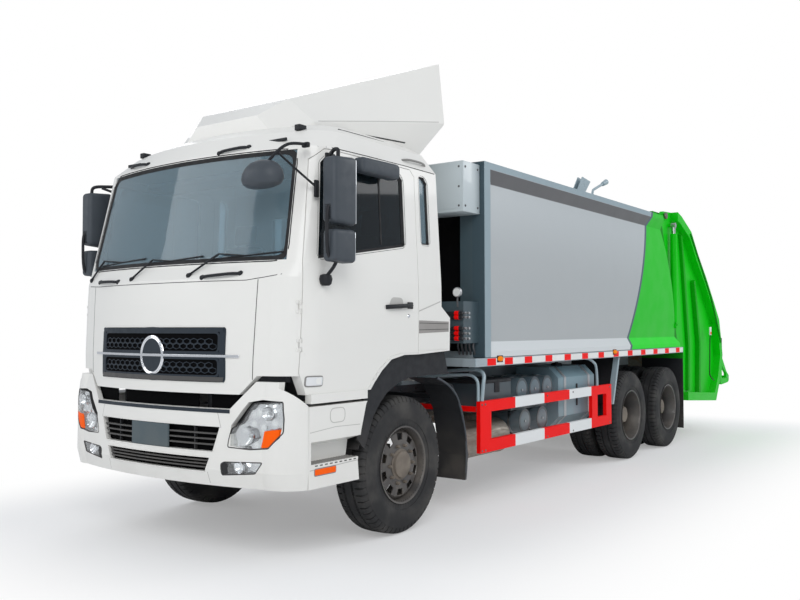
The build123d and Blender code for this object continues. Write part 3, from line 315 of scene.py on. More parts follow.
CAB_WHITE = (0.80, 0.79, 0.755)
M = {
    "cab": paint("cab_paint", CAB_WHITE, dirt=0.12),
    "body": paint("body_paint", (0.36, 0.42, 0.45), dirt=0.2),
    "frame_strip": paint("frame_strip_paint", (0.33, 0.42, 0.46), dirt=0.15),
    "front_face": paint("front_face_paint", (0.055, 0.085, 0.10), dirt=0.2),
    "box": paint("box_paint", (0.52, 0.58, 0.60), dirt=0.1),
    "side": side_paint(),
    "green": paint("green_paint", GREEN, dirt=0.06, coat=0.08, roughness=0.42, specular=0.15),
    # painted shade: two darker copies of the green paint, for the shaded stripe at the body's rear frame,
    # the tailgate's side webs, pipes, seam and clamp
    "green_mid_shade": paint("green_paint_mid_shade", (0.0, 0.36, 0.002), dirt=0.06, coat=0.0, roughness=0.5,
        specular=0.12),
    "green_deep_shade": paint("green_paint_deep_shade", (0.0, 0.25, 0.003), dirt=0.1, coat=0.0, roughness=0.5,
        specular=0.15),
    "chassis": paint("chassis_paint", (0.030, 0.036, 0.045), dirt=0.55, coat=0.1, roughness=0.5),
    "axle": paint("axle_paint", (0.018, 0.018, 0.020), dirt=0.6, coat=0.1, roughness=0.5),
    "tank": tank_paint(),
    "tank_end": paint("tank_end_paint", (0.115, 0.165, 0.195), dirt=0.3),
    "iron": paint("engine_iron", (0.10, 0.10, 0.105), dirt=0.5, coat=0.0, roughness=0.6),
    "guard": banded_guard(),
    "black": plastic("black_plastic", (0.018, 0.019, 0.022), specular=0.25),
    "slate": plastic("slate_plastic", (0.017, 0.025, 0.035), 0.45, specular=0.3),
    "mirror_shell": plastic("mirror_plastic", (0.050, 0.060, 0.072), 0.5),
    "rubber": plastic("seal_rubber", (0.012, 0.012, 0.013), 0.7, 200.0),
    "grey": plastic("grey_plastic", (0.24, 0.235, 0.225), 0.5),
    "interior": plastic("interior_plastic", (0.085, 0.095, 0.105), 0.6),
    "muffler": metal("muffler_steel", (0.42, 0.38, 0.33), 0.55, (1, 0.2, 1)),
    "chrome": metal("chrome_trim", (0.82, 0.83, 0.85), 0.12, (1, 1, 1), 30.0),
    "rod": metal("cylinder_rod", (0.50, 0.51, 0.52), 0.28, (1, 1, 0.1), 40.0),
    "worn": worn_steel(),
    "tyre": tyre_rubber(),
    "rim": paint("rim_paint", (0.030, 0.030, 0.034), dirt=0.35, coat=0.3, roughness=0.4),
    "fabric": fabric(),
    "screen": glass("windscreen_glass", (0.33, 0.46, 0.53), 0.74),
    "window": glass("window_glass", (0.045, 0.062, 0.075), 0.84, coat=0.08, specular=0.35),
    "lens": glass("lamp_lens", (0.93, 0.95, 0.96), 0.92),
    "orange": lens("orange_lens", (1.0, 0.115, 0.002)),
    "red": lens("red_lens", (0.95, 0.004, 0.004)),
    "tape_white": plastic("tape_white", (0.80, 0.80, 0.78), 0.4, 300.0),
    "hub": paint("hub_iron", (0.085, 0.068, 0.055), dirt=0.7, coat=0.0, roughness=0.55),
    "steel": metal("zinc_steel", (0.50, 0.51, 0.52), 0.38),
    "reflector": reflector(),
    "amber": lens("amber_lens", (1.0, 0.26, 0.004)),
    "black_shade": painted_shade_black(),
    "lamp_white": plastic("lamp_white", (0.72, 0.73, 0.74), 0.22, 60.0),
    "seam": plastic("seam_shadow", (0.035, 0.035, 0.036), 0.8),
    "shade": paint("shaded_white", (0.50, 0.49, 0.465), dirt=0.1),
    "strip": plastic("strip_grey", (0.30, 0.285, 0.27), 0.5),
    "grey_slat": plastic("slat_grey", (0.070, 0.068, 0.066), 0.45),
    "plate": paint("plate_blank", (0.055, 0.085, 0.10), dirt=0.2, coat=0.1, roughness=0.5),
    "pane": metal("mirror_pane", (0.80, 0.82, 0.84), 0.05),
}

# CAD nodes that keep their shape, by material
DRESS = {
    "cab": "cab_front cab_sides cab_roof cab_back door_left door_right roof_deflector front_bumper "
        "cab_steps",
    "interior": "dashboard",
    "fabric": "seats",
    "slate": "front_grille",
    "black": "cab_floor mudguards mirror_left mirror_right front_mirror steering_wheel",
    "screen": "cab_glass",
    "window": "door_glass_left door_glass_right",
    "lens": "front_lamps",
    "chassis": "chassis_frame springs",
    "axle": "front_axle rear_axles knuckle_left knuckle_right",
    "iron": "engine_block",
    "tank": "tanks",
    "muffler": "muffler",
    "guard": "side_guards",
    "body": "body_floor body_roof",
    "side": "body_sides",
    "front_face": "body_front",
    # painted shade: the body's rear frame takes the darker copy of the green
    "green_deep_shade": "body_rear_frame",
    "green": "tailgate_sides tailgate_cover lift_barrel_left lift_barrel_right bin_lifter",
    "rod": "lift_rod_left lift_rod_right",
    "worn": "ejector_plate hopper_tray packer_carriage sweep_blade",
    "rim": "rim_front_left rim_front_right rims_rear1_left rims_rear1_right rims_rear2_left "
        "rims_rear2_right",
    "tyre": "tyre_front_left tyre_front_right tyres_rear1_left tyres_rear1_right tyres_rear2_left "
        "tyres_rear2_right",
}
for key, names in DRESS.items():
    for name in names.split():
        mesh = NODES[name].data
        mesh.materials.clear()
        mesh.materials.append(M[key])


# ---- mesh helpers -------------------------------------------------------------------------------
SHARP = math.radians(32)       # an edge sharper than this stays sharp
BEVELLED = math.radians(35)    # and one sharper than this is bevelled


def piece(name, mesh, material, body="chassis", smooth=True, bevel=0.0):
    """Make an object of a mesh or a list of them, dress it and let it ride on a body."""
    if isinstance(mesh, list):
        mesh = joined(*mesh)
    obj = bpy.data.objects.new(name, mesh)
    bpy.context.scene.collection.objects.link(obj)
    mesh.materials.clear()
    mesh.materials.append(M[material])
    if smooth:
        mesh.shade_smooth()
        mesh.set_sharp_from_angle(angle=SHARP)
    if bevel:
        mod = obj.modifiers.new("bevel", "BEVEL")
        mod.width = bevel / 1000
        mod.segments = 2
        mod.limit_method = "ANGLE"
        mod.angle_limit = BEVELLED
    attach(obj, body)
    return obj


def pair(name, mesh, material, body="chassis", **how):
    """The left piece, and its mirror image on the right."""
    if isinstance(mesh, list):
        mesh = joined(*mesh)
    right = flipped(mesh)
    return (piece(name + "_left", mesh, material, body, **how),
        piece(name + "_right", right, material, body.replace("left", "right"), **how))


def mesh_of(verts, faces):
    mesh = bpy.data.meshes.new("mesh")
    mesh.from_pydata([tuple(v) for v in verts], [], faces)
    work = bmesh.new()
    work.from_mesh(mesh)
    bmesh.ops.remove_doubles(work, verts=work.verts, dist=0.00001)
    bmesh.ops.recalc_face_normals(work, faces=work.faces)
    work.to_mesh(mesh)
    work.free()
    return mesh


def joined(*meshes):
    work = bmesh.new()
    for mesh in meshes:
        work.from_mesh(mesh)
        bpy.data.meshes.remove(mesh)
    result = bpy.data.meshes.new("mesh")
    work.to_mesh(result)
    work.free()
    return result


def flipped(mesh):
    result = mesh.copy()
    result.transform(Matrix.Diagonal((-1, 1, 1, 1)))
    result.flip_normals()
    return result


# how a point in the plane across an axis becomes x, y, z
PLACE = {
    "x": lambda a, b, along: (along, a, b),
    "y": lambda a, b, along: (a, along, b),
    "z": lambda a, b, along: (a, b, along),
}


def prism(outline, axis, low, high):
    """An outline in the plane across axis, carried along it from low to high."""
    place, n = PLACE[axis], len(outline)
    verts = [at(*place(a, b, along)) for along in (low, high) for a, b in outline]
    faces = [range(n), range(n, 2 * n)] + [(i, (i + 1) % n, n + (i + 1) % n, n + i) for i in range(n)]
    return mesh_of(verts, [list(f) for f in faces])


def box(x, y, z):
    return prism([(x[0], y[0]), (x[1], y[0]), (x[1], y[1]), (x[0], y[1])], "z", *z)


def soft_box(x, y, z, radius, segments=4):
    """A box with all its edges rounded."""
    work = bmesh.new()
    work.from_mesh(box(x, y, z))
    bmesh.ops.bevel(work, geom=work.edges[:], offset=radius / 1000, segments=segments, profile=0.5,
        affect="EDGES")
    mesh = bpy.data.meshes.new("mesh")
    work.to_mesh(mesh)
    work.free()
    return mesh


def turned(profile, centre, axis=(1, 0, 0), segments=64, squeeze=1.0):
    """A turned shape: profile points are (way along the axis, radius) from the centre."""
    axis = Vector(axis).normalized()
    side = axis.cross(Vector((0, 0, 1)) if abs(axis.z) < 0.9 else Vector((0, 1, 0))).normalized()
    other = axis.cross(side)
    verts = []
    for k in range(segments):
        a = 2 * math.pi * k / segments
        spoke = side * math.cos(a) + other * math.sin(a) * squeeze
        verts += [at(*centre) + (axis * along + spoke * r) / 1000 for along, r in profile]
    n = len(profile)
    faces = [(k * n + i, k * n + i + 1, (k + 1) % segments * n + i + 1, (k + 1) % segments * n + i)
        for k in range(segments) for i in range(n - 1)]
    return mesh_of(verts, faces)


def pipe(points, r, closed=False, soft=True):
    """A round bar along points, bent smoothly where soft."""
    curve = bpy.data.curves.new("pipe", "CURVE")
    curve.dimensions = "3D"
    spline = curve.splines.new("NURBS" if soft else "POLY")
    spline.points.add(len(points) - 1)
    for slot, point in zip(spline.points, points):
        slot.co = (*at(*point), 1.0)
    spline.use_cyclic_u = closed
    if soft:
        spline.order_u = 3
        spline.use_endpoint_u = not closed
        spline.resolution_u = 6
    curve.bevel_depth = r / 1000
    curve.bevel_resolution = 3
    curve.use_fill_caps = True
    obj = bpy.data.objects.new("pipe", curve)
    mesh = bpy.data.meshes.new_from_object(obj)
    bpy.data.objects.remove(obj)
    bpy.data.curves.remove(curve)
    return mesh


def pipes(bars):
    """Round bars, each given as its radius and its points."""
    return [pipe(points, r) for r, *points in bars]


def rounded(outline, radius, steps):
    """The outline with its corners rounded."""
    points = []
    for k, corner in enumerate(outline):
        corner = Vector(corner)
        before = Vector(outline[k - 1]) - corner
        after = Vector(outline[(k + 1) % len(outline)]) - corner
        run = min(radius, before.length * 0.45, after.length * 0.45)
        p, q = corner + before.normalized() * run, corner + after.normalized() * run
        for i in range(steps + 1):
            t = i / steps
            points.append(tuple(p * (1 - t) ** 2 + corner * 2 * t * (1 - t) + q * t * t))
    return points


def dense(outline, step):
    """The outline with points added so that none are further apart than step."""
    points = []
    for k, start in enumerate(outline):
        start, end = Vector(start), Vector(outline[(k + 1) % len(outline)])
        count = max(1, math.ceil((end - start).length / step))
        points += [tuple(start.lerp(end, i / count)) for i in range(count)]
    return points


def eased(outline, radius, steps, step):
    """The outline with its corners rounded and points added."""
    return dense(rounded(outline, radius, steps), step)


def grown(outline, amount):
    """The outline moved outwards, or inwards where amount is negative."""
    area = sum(a[0] * b[1] - b[0] * a[1] for a, b in zip(outline, outline[1:] + outline[:1]))
    turn = 1 if area > 0 else -1
    points = []
    for k, corner in enumerate(outline):
        before = (Vector(corner) - Vector(outline[k - 1])).normalized()
        after = (Vector(outline[(k + 1) % len(outline)]) - Vector(corner)).normalized()
        out = Vector((before.y + after.y, -before.x - after.x)).normalized() * turn
        lean = max(0.5, out.dot(Vector((after.y, -after.x)) * turn))
        points.append(tuple(Vector(corner) + out * amount / lean))
    return points


# where rays start and which way they go, for outlines given in the plane they look at
VIEWS = {
    "front": (lambda a, b: (a, -2500, b), Vector((0, 1, 0))),
    "left": (lambda a, b: (2000, a, b), Vector((-1, 0, 0))),
    "top": (lambda a, b: (a, b, 5000), Vector((0, 0, -1))),
    "rear": (lambda a, b: (a, 12000, b), Vector((0, -1, 0))),
}


class Surface:
    """The faces of some CAD nodes, to land points on."""

    def __init__(self, nodes, view):
        verts, faces = [], []
        for name in nodes.split():
            mesh, start = NODES[name].data, len(verts)
            verts += [v.co.copy() for v in mesh.vertices]
            faces += [[start + i for i in p.vertices] for p in mesh.polygons]
        self.tree = BVHTree.FromPolygons(verts, faces)
        self.place, self.way = VIEWS[view]

    def land(self, a, b, lift=0.0):
        start = at(*self.place(a, b))
        point = self.tree.ray_cast(start, self.way)[0]
        if point is None:
            near = self.tree.find_nearest(start + self.way * 3.0)[0]
            point = start + self.way * self.way.dot(near - start)
        return point - self.way * lift / 1000

    def depth(self, a, b):
        """The y where a point lands, in the axle frame."""
        return self.land(a, b).y * 1000 + MIDDLE_Y

    def solid(self, flat, faces, lift, thick):
        """A sheet over the surface, its outer face raised by lift and thick deep."""
        outer = [self.land(a, b, lift) for a, b in flat]
        inner = [v + self.way * thick / 1000 for v in outer]
        edges = {}
        for face in faces:
            for k, i in enumerate(face):
                j = face[(k + 1) % len(face)]
                if (j, i) in edges:
                    del edges[(j, i)]
                else:
                    edges[(i, j)] = True
        n = len(flat)
        walls = [(i, j, n + j, n + i) for i, j in edges]
        return mesh_of(outer + inner, list(faces) + [[n + i for i in reversed(f)] for f in faces] + walls)

    def patch(self, outline, lift, thick, step=45.0):
        """The surface inside an outline, as a thin solid."""
        work = bmesh.new()
        work.faces.new([work.verts.new((a, b, 0)) for a, b in outline])
        for i in (0, 1):
            low, high = min(p[i] for p in outline), max(p[i] for p in outline)
            for k in range(1, math.ceil((high - low) / step)):
                spot, normal = [0, 0, 0], [0, 0, 0]
                spot[i], normal[i] = low + k * step, 1
                bmesh.ops.bisect_plane(work, geom=work.verts[:] + work.edges[:] + work.faces[:],
                    plane_co=spot, plane_no=normal)
        work.verts.index_update()
        flat = [(v.co.x, v.co.y) for v in work.verts]
        faces = [[v.index for v in f.verts] for f in work.faces]
        work.free()
        return self.solid(flat, faces, lift, thick)

    def band(self, outline, out, inn, lift, thick):
        """A strip along a closed outline, from out outside it to inn inside it."""
        flat = grown(outline, out) + grown(outline, -inn)
        n = len(outline)
        faces = [(i, (i + 1) % n, n + (i + 1) % n, n + i) for i in range(n)]
        return self.solid(flat, faces, lift, thick)

    def seam(self, points, width=5.0, lift=0.6):
        """A narrow dark line along an open run of points."""
        run = []
        for start, end in zip(points, points[1:]):
            start, end = Vector(start), Vector(end)
            count = max(1, math.ceil((end - start).length / 60))
            run += [start.lerp(end, i / count) for i in range(count)]
        run.append(Vector(points[-1]))
        flat = []
        for k, spot in enumerate(run):
            way = (run[min(k + 1, len(run) - 1)] - run[max(k - 1, 0)]).normalized() * width / 2
            flat += [(spot.x - way.y, spot.y + way.x), (spot.x + way.y, spot.y - way.x)]
        faces = [(2 * k, 2 * k + 1, 2 * k + 3, 2 * k + 2) for k in range(len(run) - 1)]
        return self.solid(flat, faces, lift, 3.0)


def bolts(centre, circle, count, size, length):
    """A ring of hexagon nuts on their studs, round an axis along X."""
    meshes = []
    for k in range(count):
        a = 2 * math.pi * k / count
        spot = (centre[0], centre[1] + circle * math.cos(a), centre[2] + circle * math.sin(a))
        nut = [(0, 0), (0, size * 1.2), (length * 0.15, size * 1.2), (length * 0.15, size),
            (length * 0.7, size), (length * 0.8, size * 0.8), (length * 0.8, 0)]
        meshes.append(turned(nut, spot, segments=6))
        meshes.append(turned([(0, size * 0.45), (length, size * 0.45), (length, 0)], spot, segments=10))
    return joined(*meshes)


# ---- wheels -------------------------------------------------------------------------------------
PITCHES = 60                # tread blocks round a tyre
HAND_HOLES = 10             # in a wheel disc
HAND_HOLE_R = (196, 246)    # inner and outer end of a hand hole
HAND_HOLE_TURN = 7.6        # half its width, in degrees
DISC_STEEL = 9              # the disc's thickness
# the swing of the grooves, how deep they and the shoulder slots are, and how proud the side rib is
TREAD = {"zigzag": 6, "groove": 15, "slot": 14, "rib": 2.0}
# tyre section from the tread's middle to the bead: way out from the middle, radius
TYRE_SECTION = ((0, 540), (27, 540), (31, 540), (43, 540), (47, 540), (64, 539), (68, 539), (106, 536),
    (116, 532), (128, 520), (136, 498), (138, 488), (141, 486), (147, 455), (150, 425), (150, 395),
    (146, 360), (143, 352), (139, 350), (134, 322), (131, 308), (134, 300), (133, 292))


def tyre_mesh(x, y):
    """A tyre with zigzag grooves between its ribs and slots across its shoulders."""
    section = [(-u, r) for u, r in reversed(TYRE_SECTION)] + list(TYRE_SECTION[1:])
    columns = (0.0, 0.04, 0.20, 0.24, 0.5, 0.76)
    verts = []
    for k in range(PITCHES):
        for n, part in enumerate(columns):
            a = 2 * math.pi * (k + part) / PITCHES
            zigzag = TREAD["zigzag"] * math.sin(2 * math.pi * part)
            for u, r in section:
                out = abs(u)
                shift = math.copysign(zigzag, u) if 20 < out < 50 else 0
                groove = TREAD["groove"] if 30 < out < 44 else 0
                slot = TREAD["slot"] if n in (1, 2) and 68 <= out < 137 else 0
                rib = TREAD["rib"] if 137 < out < 142 else 0
                reach = r - max(groove, slot) + rib
                verts.append(at(x + u + shift, y + reach * math.cos(a), TYRE_R + reach * math.sin(a)))
    rows, total = len(section), PITCHES * len(columns)
    faces = [(k * rows + i, k * rows + i + 1, (k + 1) % total * rows + i + 1, (k + 1) % total * rows + i)
        for k in range(total) for i in range(rows - 1)]
    return mesh_of(verts, faces)


def disc_mesh(x, y, section):
    """A pressed wheel disc with its hand holes cut through."""
    mesh = turned(section, (x, y, TYRE_R), segments=120)
    centre = at(x, y, TYRE_R)
    work = bmesh.new()
    work.from_mesh(mesh)
    gone = []
    for face in work.faces:
        spot = face.calc_center_median() - centre
        r = math.hypot(spot.y, spot.z) * 1000
        turn = math.degrees(math.atan2(spot.z, spot.y)) % (360 / HAND_HOLES)
        if HAND_HOLE_R[0] < r < HAND_HOLE_R[1] and abs(turn - 180 / HAND_HOLES) < HAND_HOLE_TURN:
            gone.append(face)
    bmesh.ops.delete(work, geom=gone, context="FACES")
    bmesh.ops.solidify(work, geom=work.faces[:], thickness=DISC_STEEL / 1000)
    work.to_mesh(mesh)
    work.free()
    return mesh


def barrel_mesh(x, y, way):
    """The rim's barrel, its outer lip towards way."""
    section = [(-140, 300), (-142, 292), (-136, 286), (-100, 284), (-60, 262), (40, 262), (80, 283),
        (128, 285), (138, 291), (142, 304), (136, 304), (128, 292), (80, 290), (-100, 290), (-134, 293),
        (-140, 300)]
    return turned([(way * a, r) for a, r in section], (x, y, TYRE_R))


def hub_mesh(x, y, stations):
    return turned(stations, (x, y, TYRE_R), segments=48)


# disc sections as way along the axle from the wheel's middle, radius
FRONT_DISC = [(98, 106), (108, 110), (108, 178), (104, 192), (98, 250), (84, 266), (46, 280)]
REAR_DISC = [(-124, 120), (-124, 178), (-120, 192), (-110, 250), (-96, 266), (-58, 280)]
FRONT_HUB = [(20, 0), (20, 122), (112, 122), (116, 106), (134, 102), (139, 92), (141, 60), (141, 0)]
REAR_HUB = [(-310, 0), (-310, 124), (-110, 124), (-104, 116), (-30, 108), (28, 104), (34, 96), (52, 92),
    (58, 80), (60, 0)]
NUT_CIRCLE = 150            # radius of the ring of wheel nuts


def front_wheel(x, y):
    """The tyre, the rim and the hub with its nuts."""
    rim = joined(barrel_mesh(x, y, 1), disc_mesh(x, y, FRONT_DISC))
    nuts = [bolts((x + 108, y, TYRE_R), NUT_CIRCLE, 10, 13, 30), bolts((x + 134, y, TYRE_R), 80, 6, 6, 7)]
    return tyre_mesh(x, y), rim, joined(hub_mesh(x, y, FRONT_HUB), *nuts)


def twin_wheels(x, y):
    """The same for two wheels side by side, the outer one at x."""
    inner_x = x - DUAL_PITCH
    tyres = joined(tyre_mesh(x, y), tyre_mesh(inner_x, y))
    inner_disc = [(-along, r) for along, r in REAR_DISC]
    rims = joined(barrel_mesh(x, y, 1), barrel_mesh(inner_x, y, -1), disc_mesh(x, y, REAR_DISC),
        disc_mesh(inner_x, y, inner_disc))
    nuts = [bolts((x - 124, y, TYRE_R), NUT_CIRCLE, 10, 14, 40), bolts((x + 28, y, TYRE_R), 84, 10, 7, 12)]
    return tyres, rims, joined(hub_mesh(x, y, REAR_HUB), *nuts)


def wheels():
    for tyre, rim, body, meshes in (
            ("tyre_front", "rim_front", "wheel_front_left", front_wheel(FRONT_WHEEL_X, 0)),
            ("tyres_rear1", "rims_rear1", "wheels_rear1_left", twin_wheels(REAR_WHEEL_X, WHEELBASE)),
            ("tyres_rear2", "rims_rear2", "wheels_rear2_left", twin_wheels(REAR_WHEEL_X, LAST_AXLE))):
        for node_name, mesh, material in zip((tyre, rim), meshes, ("tyre", "rim")):
            for obj, side in zip(pair(node_name + "_shape", mesh, material, body), ("_left", "_right")):
                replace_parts(obj, node_name + side)
        pair(rim + "_hub", meshes[2], "hub", body)


wheels()


# ---- cab front ----------------------------------------------------------------------------------
HEADLAMP = [(728, 802), (734, 845), (757, 925), (842, 978), (900, 1070), (930, 1106), (1144, 1122),
    (1156, 1010), (1152, 915), (1053, 808), (907, 794)]
TURN_LENS = [(1018, 923), (1143, 940), (1142, 912), (1052, 816), (990, 808)]
FOG_LAMP = [(676, 607), (672, 683), (699, 698), (1001, 710), (947, 633)]
SCREEN = [(-1090, 2085), (1090, 2085), (1030, 2880), (-1030, 2880)]
DOOR_WINDOW = [(-1085, 2095), (-45, 2255), (-45, 2780), (-90, 2825), (-960, 2825), (-1000, 2780)]
QUARTER_WINDOW = [(185, 2290), (300, 2290), (300, 2800), (260, 2845), (185, 2845)]
# the front wheel arch, as y, z: where the flare meets the cab, and its edge over the tyre
ARCH_OUT = [(-620, 807), (-597, 925), (-558, 1055), (-489, 1160), (-387, 1278), (-262, 1361),
    (-132, 1396), (93, 1409), (544, 1430)]
ARCH_IN = [(-533, 722), (-464, 874), (-423, 957), (-341, 1050), (-257, 1120), (-106, 1188), (28, 1220),
    (285, 1228), (610, 1228)]
# the sheet behind the flare, clear of the steered tyre
LINER = [(-592, 722), (-518, 874), (-452, 957), (-345, 1050), (-257, 1120), (-106, 1188), (28, 1220),
    (285, 1228), (610, 1228)]
LOUVRES = [(-598, 762), (598, 762), (657, 934), (-657, 934)]
PLATE_X = (-250, 175)
SLOT = [(-530, 622), (530, 622), (570, 718), (-570, 718)]
GRILLE = [(-687, 1240), (687, 1240), (687, 1622), (-687, 1622)]
BOW_STEPS = 14


def bumper_y(x, inset):
    """Where the bumper's middle stretch faces forward at x."""
    return -1500 + 122 * (x / 995) ** 2 + inset


def bowed_bar(z, x0, x1, inset, height, depth):
    """A slat that follows the bumper's bow from x0 to x1."""
    xs = [x0 + (x1 - x0) * k / BOW_STEPS for k in range(BOW_STEPS + 1)]
    front = [(x, bumper_y(x, inset)) for x in xs]
    back = [(x, bumper_y(x, inset + depth)) for x in reversed(xs)]
    return prism(front + back, "z", z - height / 2, z + height / 2)


def front_end():
    bumper = Surface("front_bumper front_lamps", "front")
    for outline, word in ((HEADLAMP, "headlamp"), (FOG_LAMP, "fog_lamp")):
        rim_line = eased(outline, 12, 3, 45)
        inside = grown(rim_line, -2)
        cover = bumper.patch(inside, lift=-3, thick=4)
        bowl = bumper.patch(inside, lift=-34, thick=5, step=14)
        left, right = pair(word + "_lens", cover, "lens")
        if word == "headlamp":
            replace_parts(left, "front_lamps")
            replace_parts(right, "front_lamps")
        pair(word + "_bowl", bowl, "reflector")
        pair(word + "_edge", bumper.band(rim_line, 4, 3, lift=1.0, thick=34), "seam")
    pair("turn_lens", bumper.patch(eased(TURN_LENS, 12, 3, 45), lift=-1, thick=8), "orange")
    bulbs = []
    for x, z, r in ((880, 885, 58), (1040, 1040, 44)):
        y = bumper.depth(x, z)
        bulbs.append(turned([(26, 0), (26, r * 0.3), (20, r * 0.62), (2, r), (-1, r + 4), (6, r + 5),
            (34, r * 0.7)], (x, y + 6, z), (0, 1, 0), 40))
        bulbs.append(turned([(4, 0), (6, 9), (26, 11)], (x, y + 6, z), (0, 1, 0), 20))
    pair("headlamp_rings", bulbs, "reflector")
    y = bumper.depth(720, 655)
    pair("fog_lamp_shade", bumper.patch([(682, 612), (678, 684), (702, 694), (726, 690), (724, 618)],
        lift=-2.5, thick=10), "black")
    pair("fog_lamp_bulb", turned([(30, 0), (28, 18), (14, 33), (4, 38), (4, 42), (30, 34)],
        (820, y + 16, 668), (0, 1, 0), 32), "chrome")

    # the openings: black backs as painted shade in them and in the bumper's gaps, slats, their edges and
    # the blank plate
    backs = [bowed_bar(848, -690, 690, 40, 200, 6), bowed_bar(668, -600, 600, 40, 120, 6)]
    backs += [bowed_bar(1105, x0, x1, 60, 105, 6) for x0, x1 in ((-1080, -530), (-410, 410), (530, 1080))]
    for s in (-1, 1):
        xs = range(640, 1081, 40)
        corner = [(s * x, bumper.depth(s * x, 1030) + 62) for x in xs]
        backs.append(prism(corner + [(x, y + 6) for x, y in reversed(corner)], "z", 1050, 1236))
    piece("opening_shade_backs", backs, "black_shade")
    slats = []
    for z, reach in ((884, 632), (846, 620), (808, 607)):
        slats += [bowed_bar(z, -reach, PLATE_X[0], 8, 11, 24), bowed_bar(z, PLATE_X[1], reach, 8, 11, 24)]
    slats += [bowed_bar(z, -reach, reach, 8, 10, 24) for z, reach in ((695, 552), (672, 545), (649, 536))]
    piece("bumper_slats", slats, "grey_slat", bevel=2)
    posts = [box((x - 5, x + 5), (bumper_y(x, 14), bumper_y(x, 36)), (768, 928)) for x in (-420, 420)]
    piece("slat_posts", posts, "black")
    piece("blank_plate", [bowed_bar(848, PLATE_X[0] + 6, PLATE_X[1] - 6, 1, 164, 7),
        bowed_bar(848, *PLATE_X, 4, 172, 6)], "plate", bevel=1.5)
    for word, outline in (("louvre_edge", LOUVRES), ("slot_edge", SLOT)):
        line = eased(outline, 26, 4, 50)
        piece(word, bumper.band(line, 9, 1, lift=1.5, thick=20), "cab")
    strip = Surface("front_bumper", "front")
    xs = range(-740, 741, 20)
    flat = [(x, 1057) for x in xs] + [(x, 1031) for x in reversed(xs)]
    piece("bumper_lip", strip.patch(flat, lift=2.5, thick=14), "slate")
    seams = [strip.seam([(-636, 1042), (-668, 930)]), strip.seam([(636, 1042), (668, 930)]),
        strip.seam([(-552, 620), (-560, 540)]), strip.seam([(552, 620), (560, 540)])]
    piece("bumper_seams", seams, "shade")


# a honeycomb cell's corner radius, sideways and upwards, and the step from row to row, by its pitch
CELL_X, CELL_Z, CELL_ROW = 0.577, 0.36, 0.54


def hex_mesh(outline, y_of, pitch, wall, depth):
    """A honeycomb of thin walls inside an outline, its front at y_of(x)."""
    meshes = []
    xs, zs = [p[0] for p in outline], [p[1] for p in outline]
    level = 0
    z = min(zs)
    while z < max(zs):
        x = min(xs) + (pitch / 2 if level % 2 else 0)
        while x < max(xs):
            ring = []
            for k in range(6):
                a = math.pi * (k / 3 + 1 / 6)
                ring.append((x + CELL_X * pitch * math.cos(a), z + CELL_Z * pitch * math.sin(a)))
            if all(min(xs) <= p[0] <= max(xs) and min(zs) <= p[1] <= max(zs) for p in ring):
                small = grown(ring, -wall)
                verts = [at(px, y_of(px) + d, pz) for d in (0, depth) for px, pz in ring + small]
                faces = []
                for i in range(6):
                    j = (i + 1) % 6
                    faces += [(i, j, 6 + j, 6 + i), (6 + i, 6 + j, 18 + j, 18 + i)]
                meshes.append(mesh_of(verts, faces))
            x += pitch
        z += pitch * CELL_ROW
        level += 1
    return joined(*meshes)


BADGE_Z = 1420


def grille():
    skin = Surface("front_grille", "front")
    cab = Surface("cab_front", "front")
    outer = eased(GRILLE, 34, 5, 60)
    openings = [[(-632, 1452), (632, 1452), (632, 1580), (-632, 1580)],
        [(-632, 1286), (632, 1286), (632, 1398), (-632, 1398)]]
    # painted shade: a black sheet behind the honeycomb
    back = cab.patch(outer, lift=1.0, thick=3)
    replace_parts(piece("grille_shade_back", back, "black_shade", "cab"), "front_grille")

    def y_of(x):
        return skin.depth(x, 1430)

    for number, opening in enumerate(openings):
        piece(f"grille_mesh_{number}", hex_mesh(opening, lambda x: y_of(x) + 3.5, 66, 5, 6), "slate",
            "cab", smooth=False)
        line = eased(opening, 30, 4, 60)
        piece(f"grille_opening_{number}", skin.band(line, 14, 2, lift=-1.0, thick=9), "slate", "cab")
    # the frame round the openings, as bars of the same skin
    bars = [[(-680, 1590), (680, 1590), (668, 1618), (-668, 1618)],
        [(-684, 1262), (-644, 1262), (-644, 1592), (-684, 1592)],
        [(644, 1262), (684, 1262), (684, 1592), (644, 1592)],
        [(-646, 1400), (-126, 1400), (-126, 1448), (-646, 1448)],
        [(126, 1400), (646, 1400), (646, 1448), (126, 1448)]]
    piece("grille_frame", [skin.patch(bar, lift=-0.5, thick=9) for bar in bars], "slate", "cab")
    piece("grille_foot", skin.patch([(-672, 1244), (672, 1244), (684, 1276), (-684, 1276)], lift=-0.3,
        thick=9), "grey_slat", "cab")
    piece("grille_edge", skin.band(outer, 5, 5, lift=-2.0, thick=8), "slate", "cab")

    def chrome_y(x):
        return cab.depth(x, BADGE_Z) - 6

    xs = range(-800, 801, 40)
    bar_front = [(x, chrome_y(x) - 3.5) for x in xs]
    bar_back = [(x, chrome_y(x) + 6) for x in reversed(xs)]
    piece("chrome_bar", prism(bar_front + bar_back, "z", 1411, 1431), "chrome", "cab", bevel=3)
    turns = [2 * math.pi * k / 40 for k in range(40)]
    rings = [pipe([(x * math.cos(a), -1504.5, BADGE_Z + (x + 15) * math.sin(a)) for a in turns], 9.5,
        closed=True) for x in (112, 124)]
    piece("chrome_ring", rings, "chrome", "cab")
    plain = [(108 * math.cos(a), BADGE_Z + 123 * math.sin(a)) for a in turns]
    piece("blank_badge", prism(plain, "y", -1512, -1492), "slate", "cab")


front_end()
grille()


# ---- cab screen, seams and handles --------------------------------------------------------------
# pivot, elbow and the blade's two ends, as x, z
WIPERS = (
    ("wiper_left", (316, 1990), (530, 2142), (450, 2105), (1050, 2140)),
    ("wiper_middle", (-326, 1984), (-160, 2130), (-300, 2092), (372, 2134)),
    ("wiper_right", (-1050, 2006), (-894, 2160), (-930, 2120), (-270, 2146)),
)
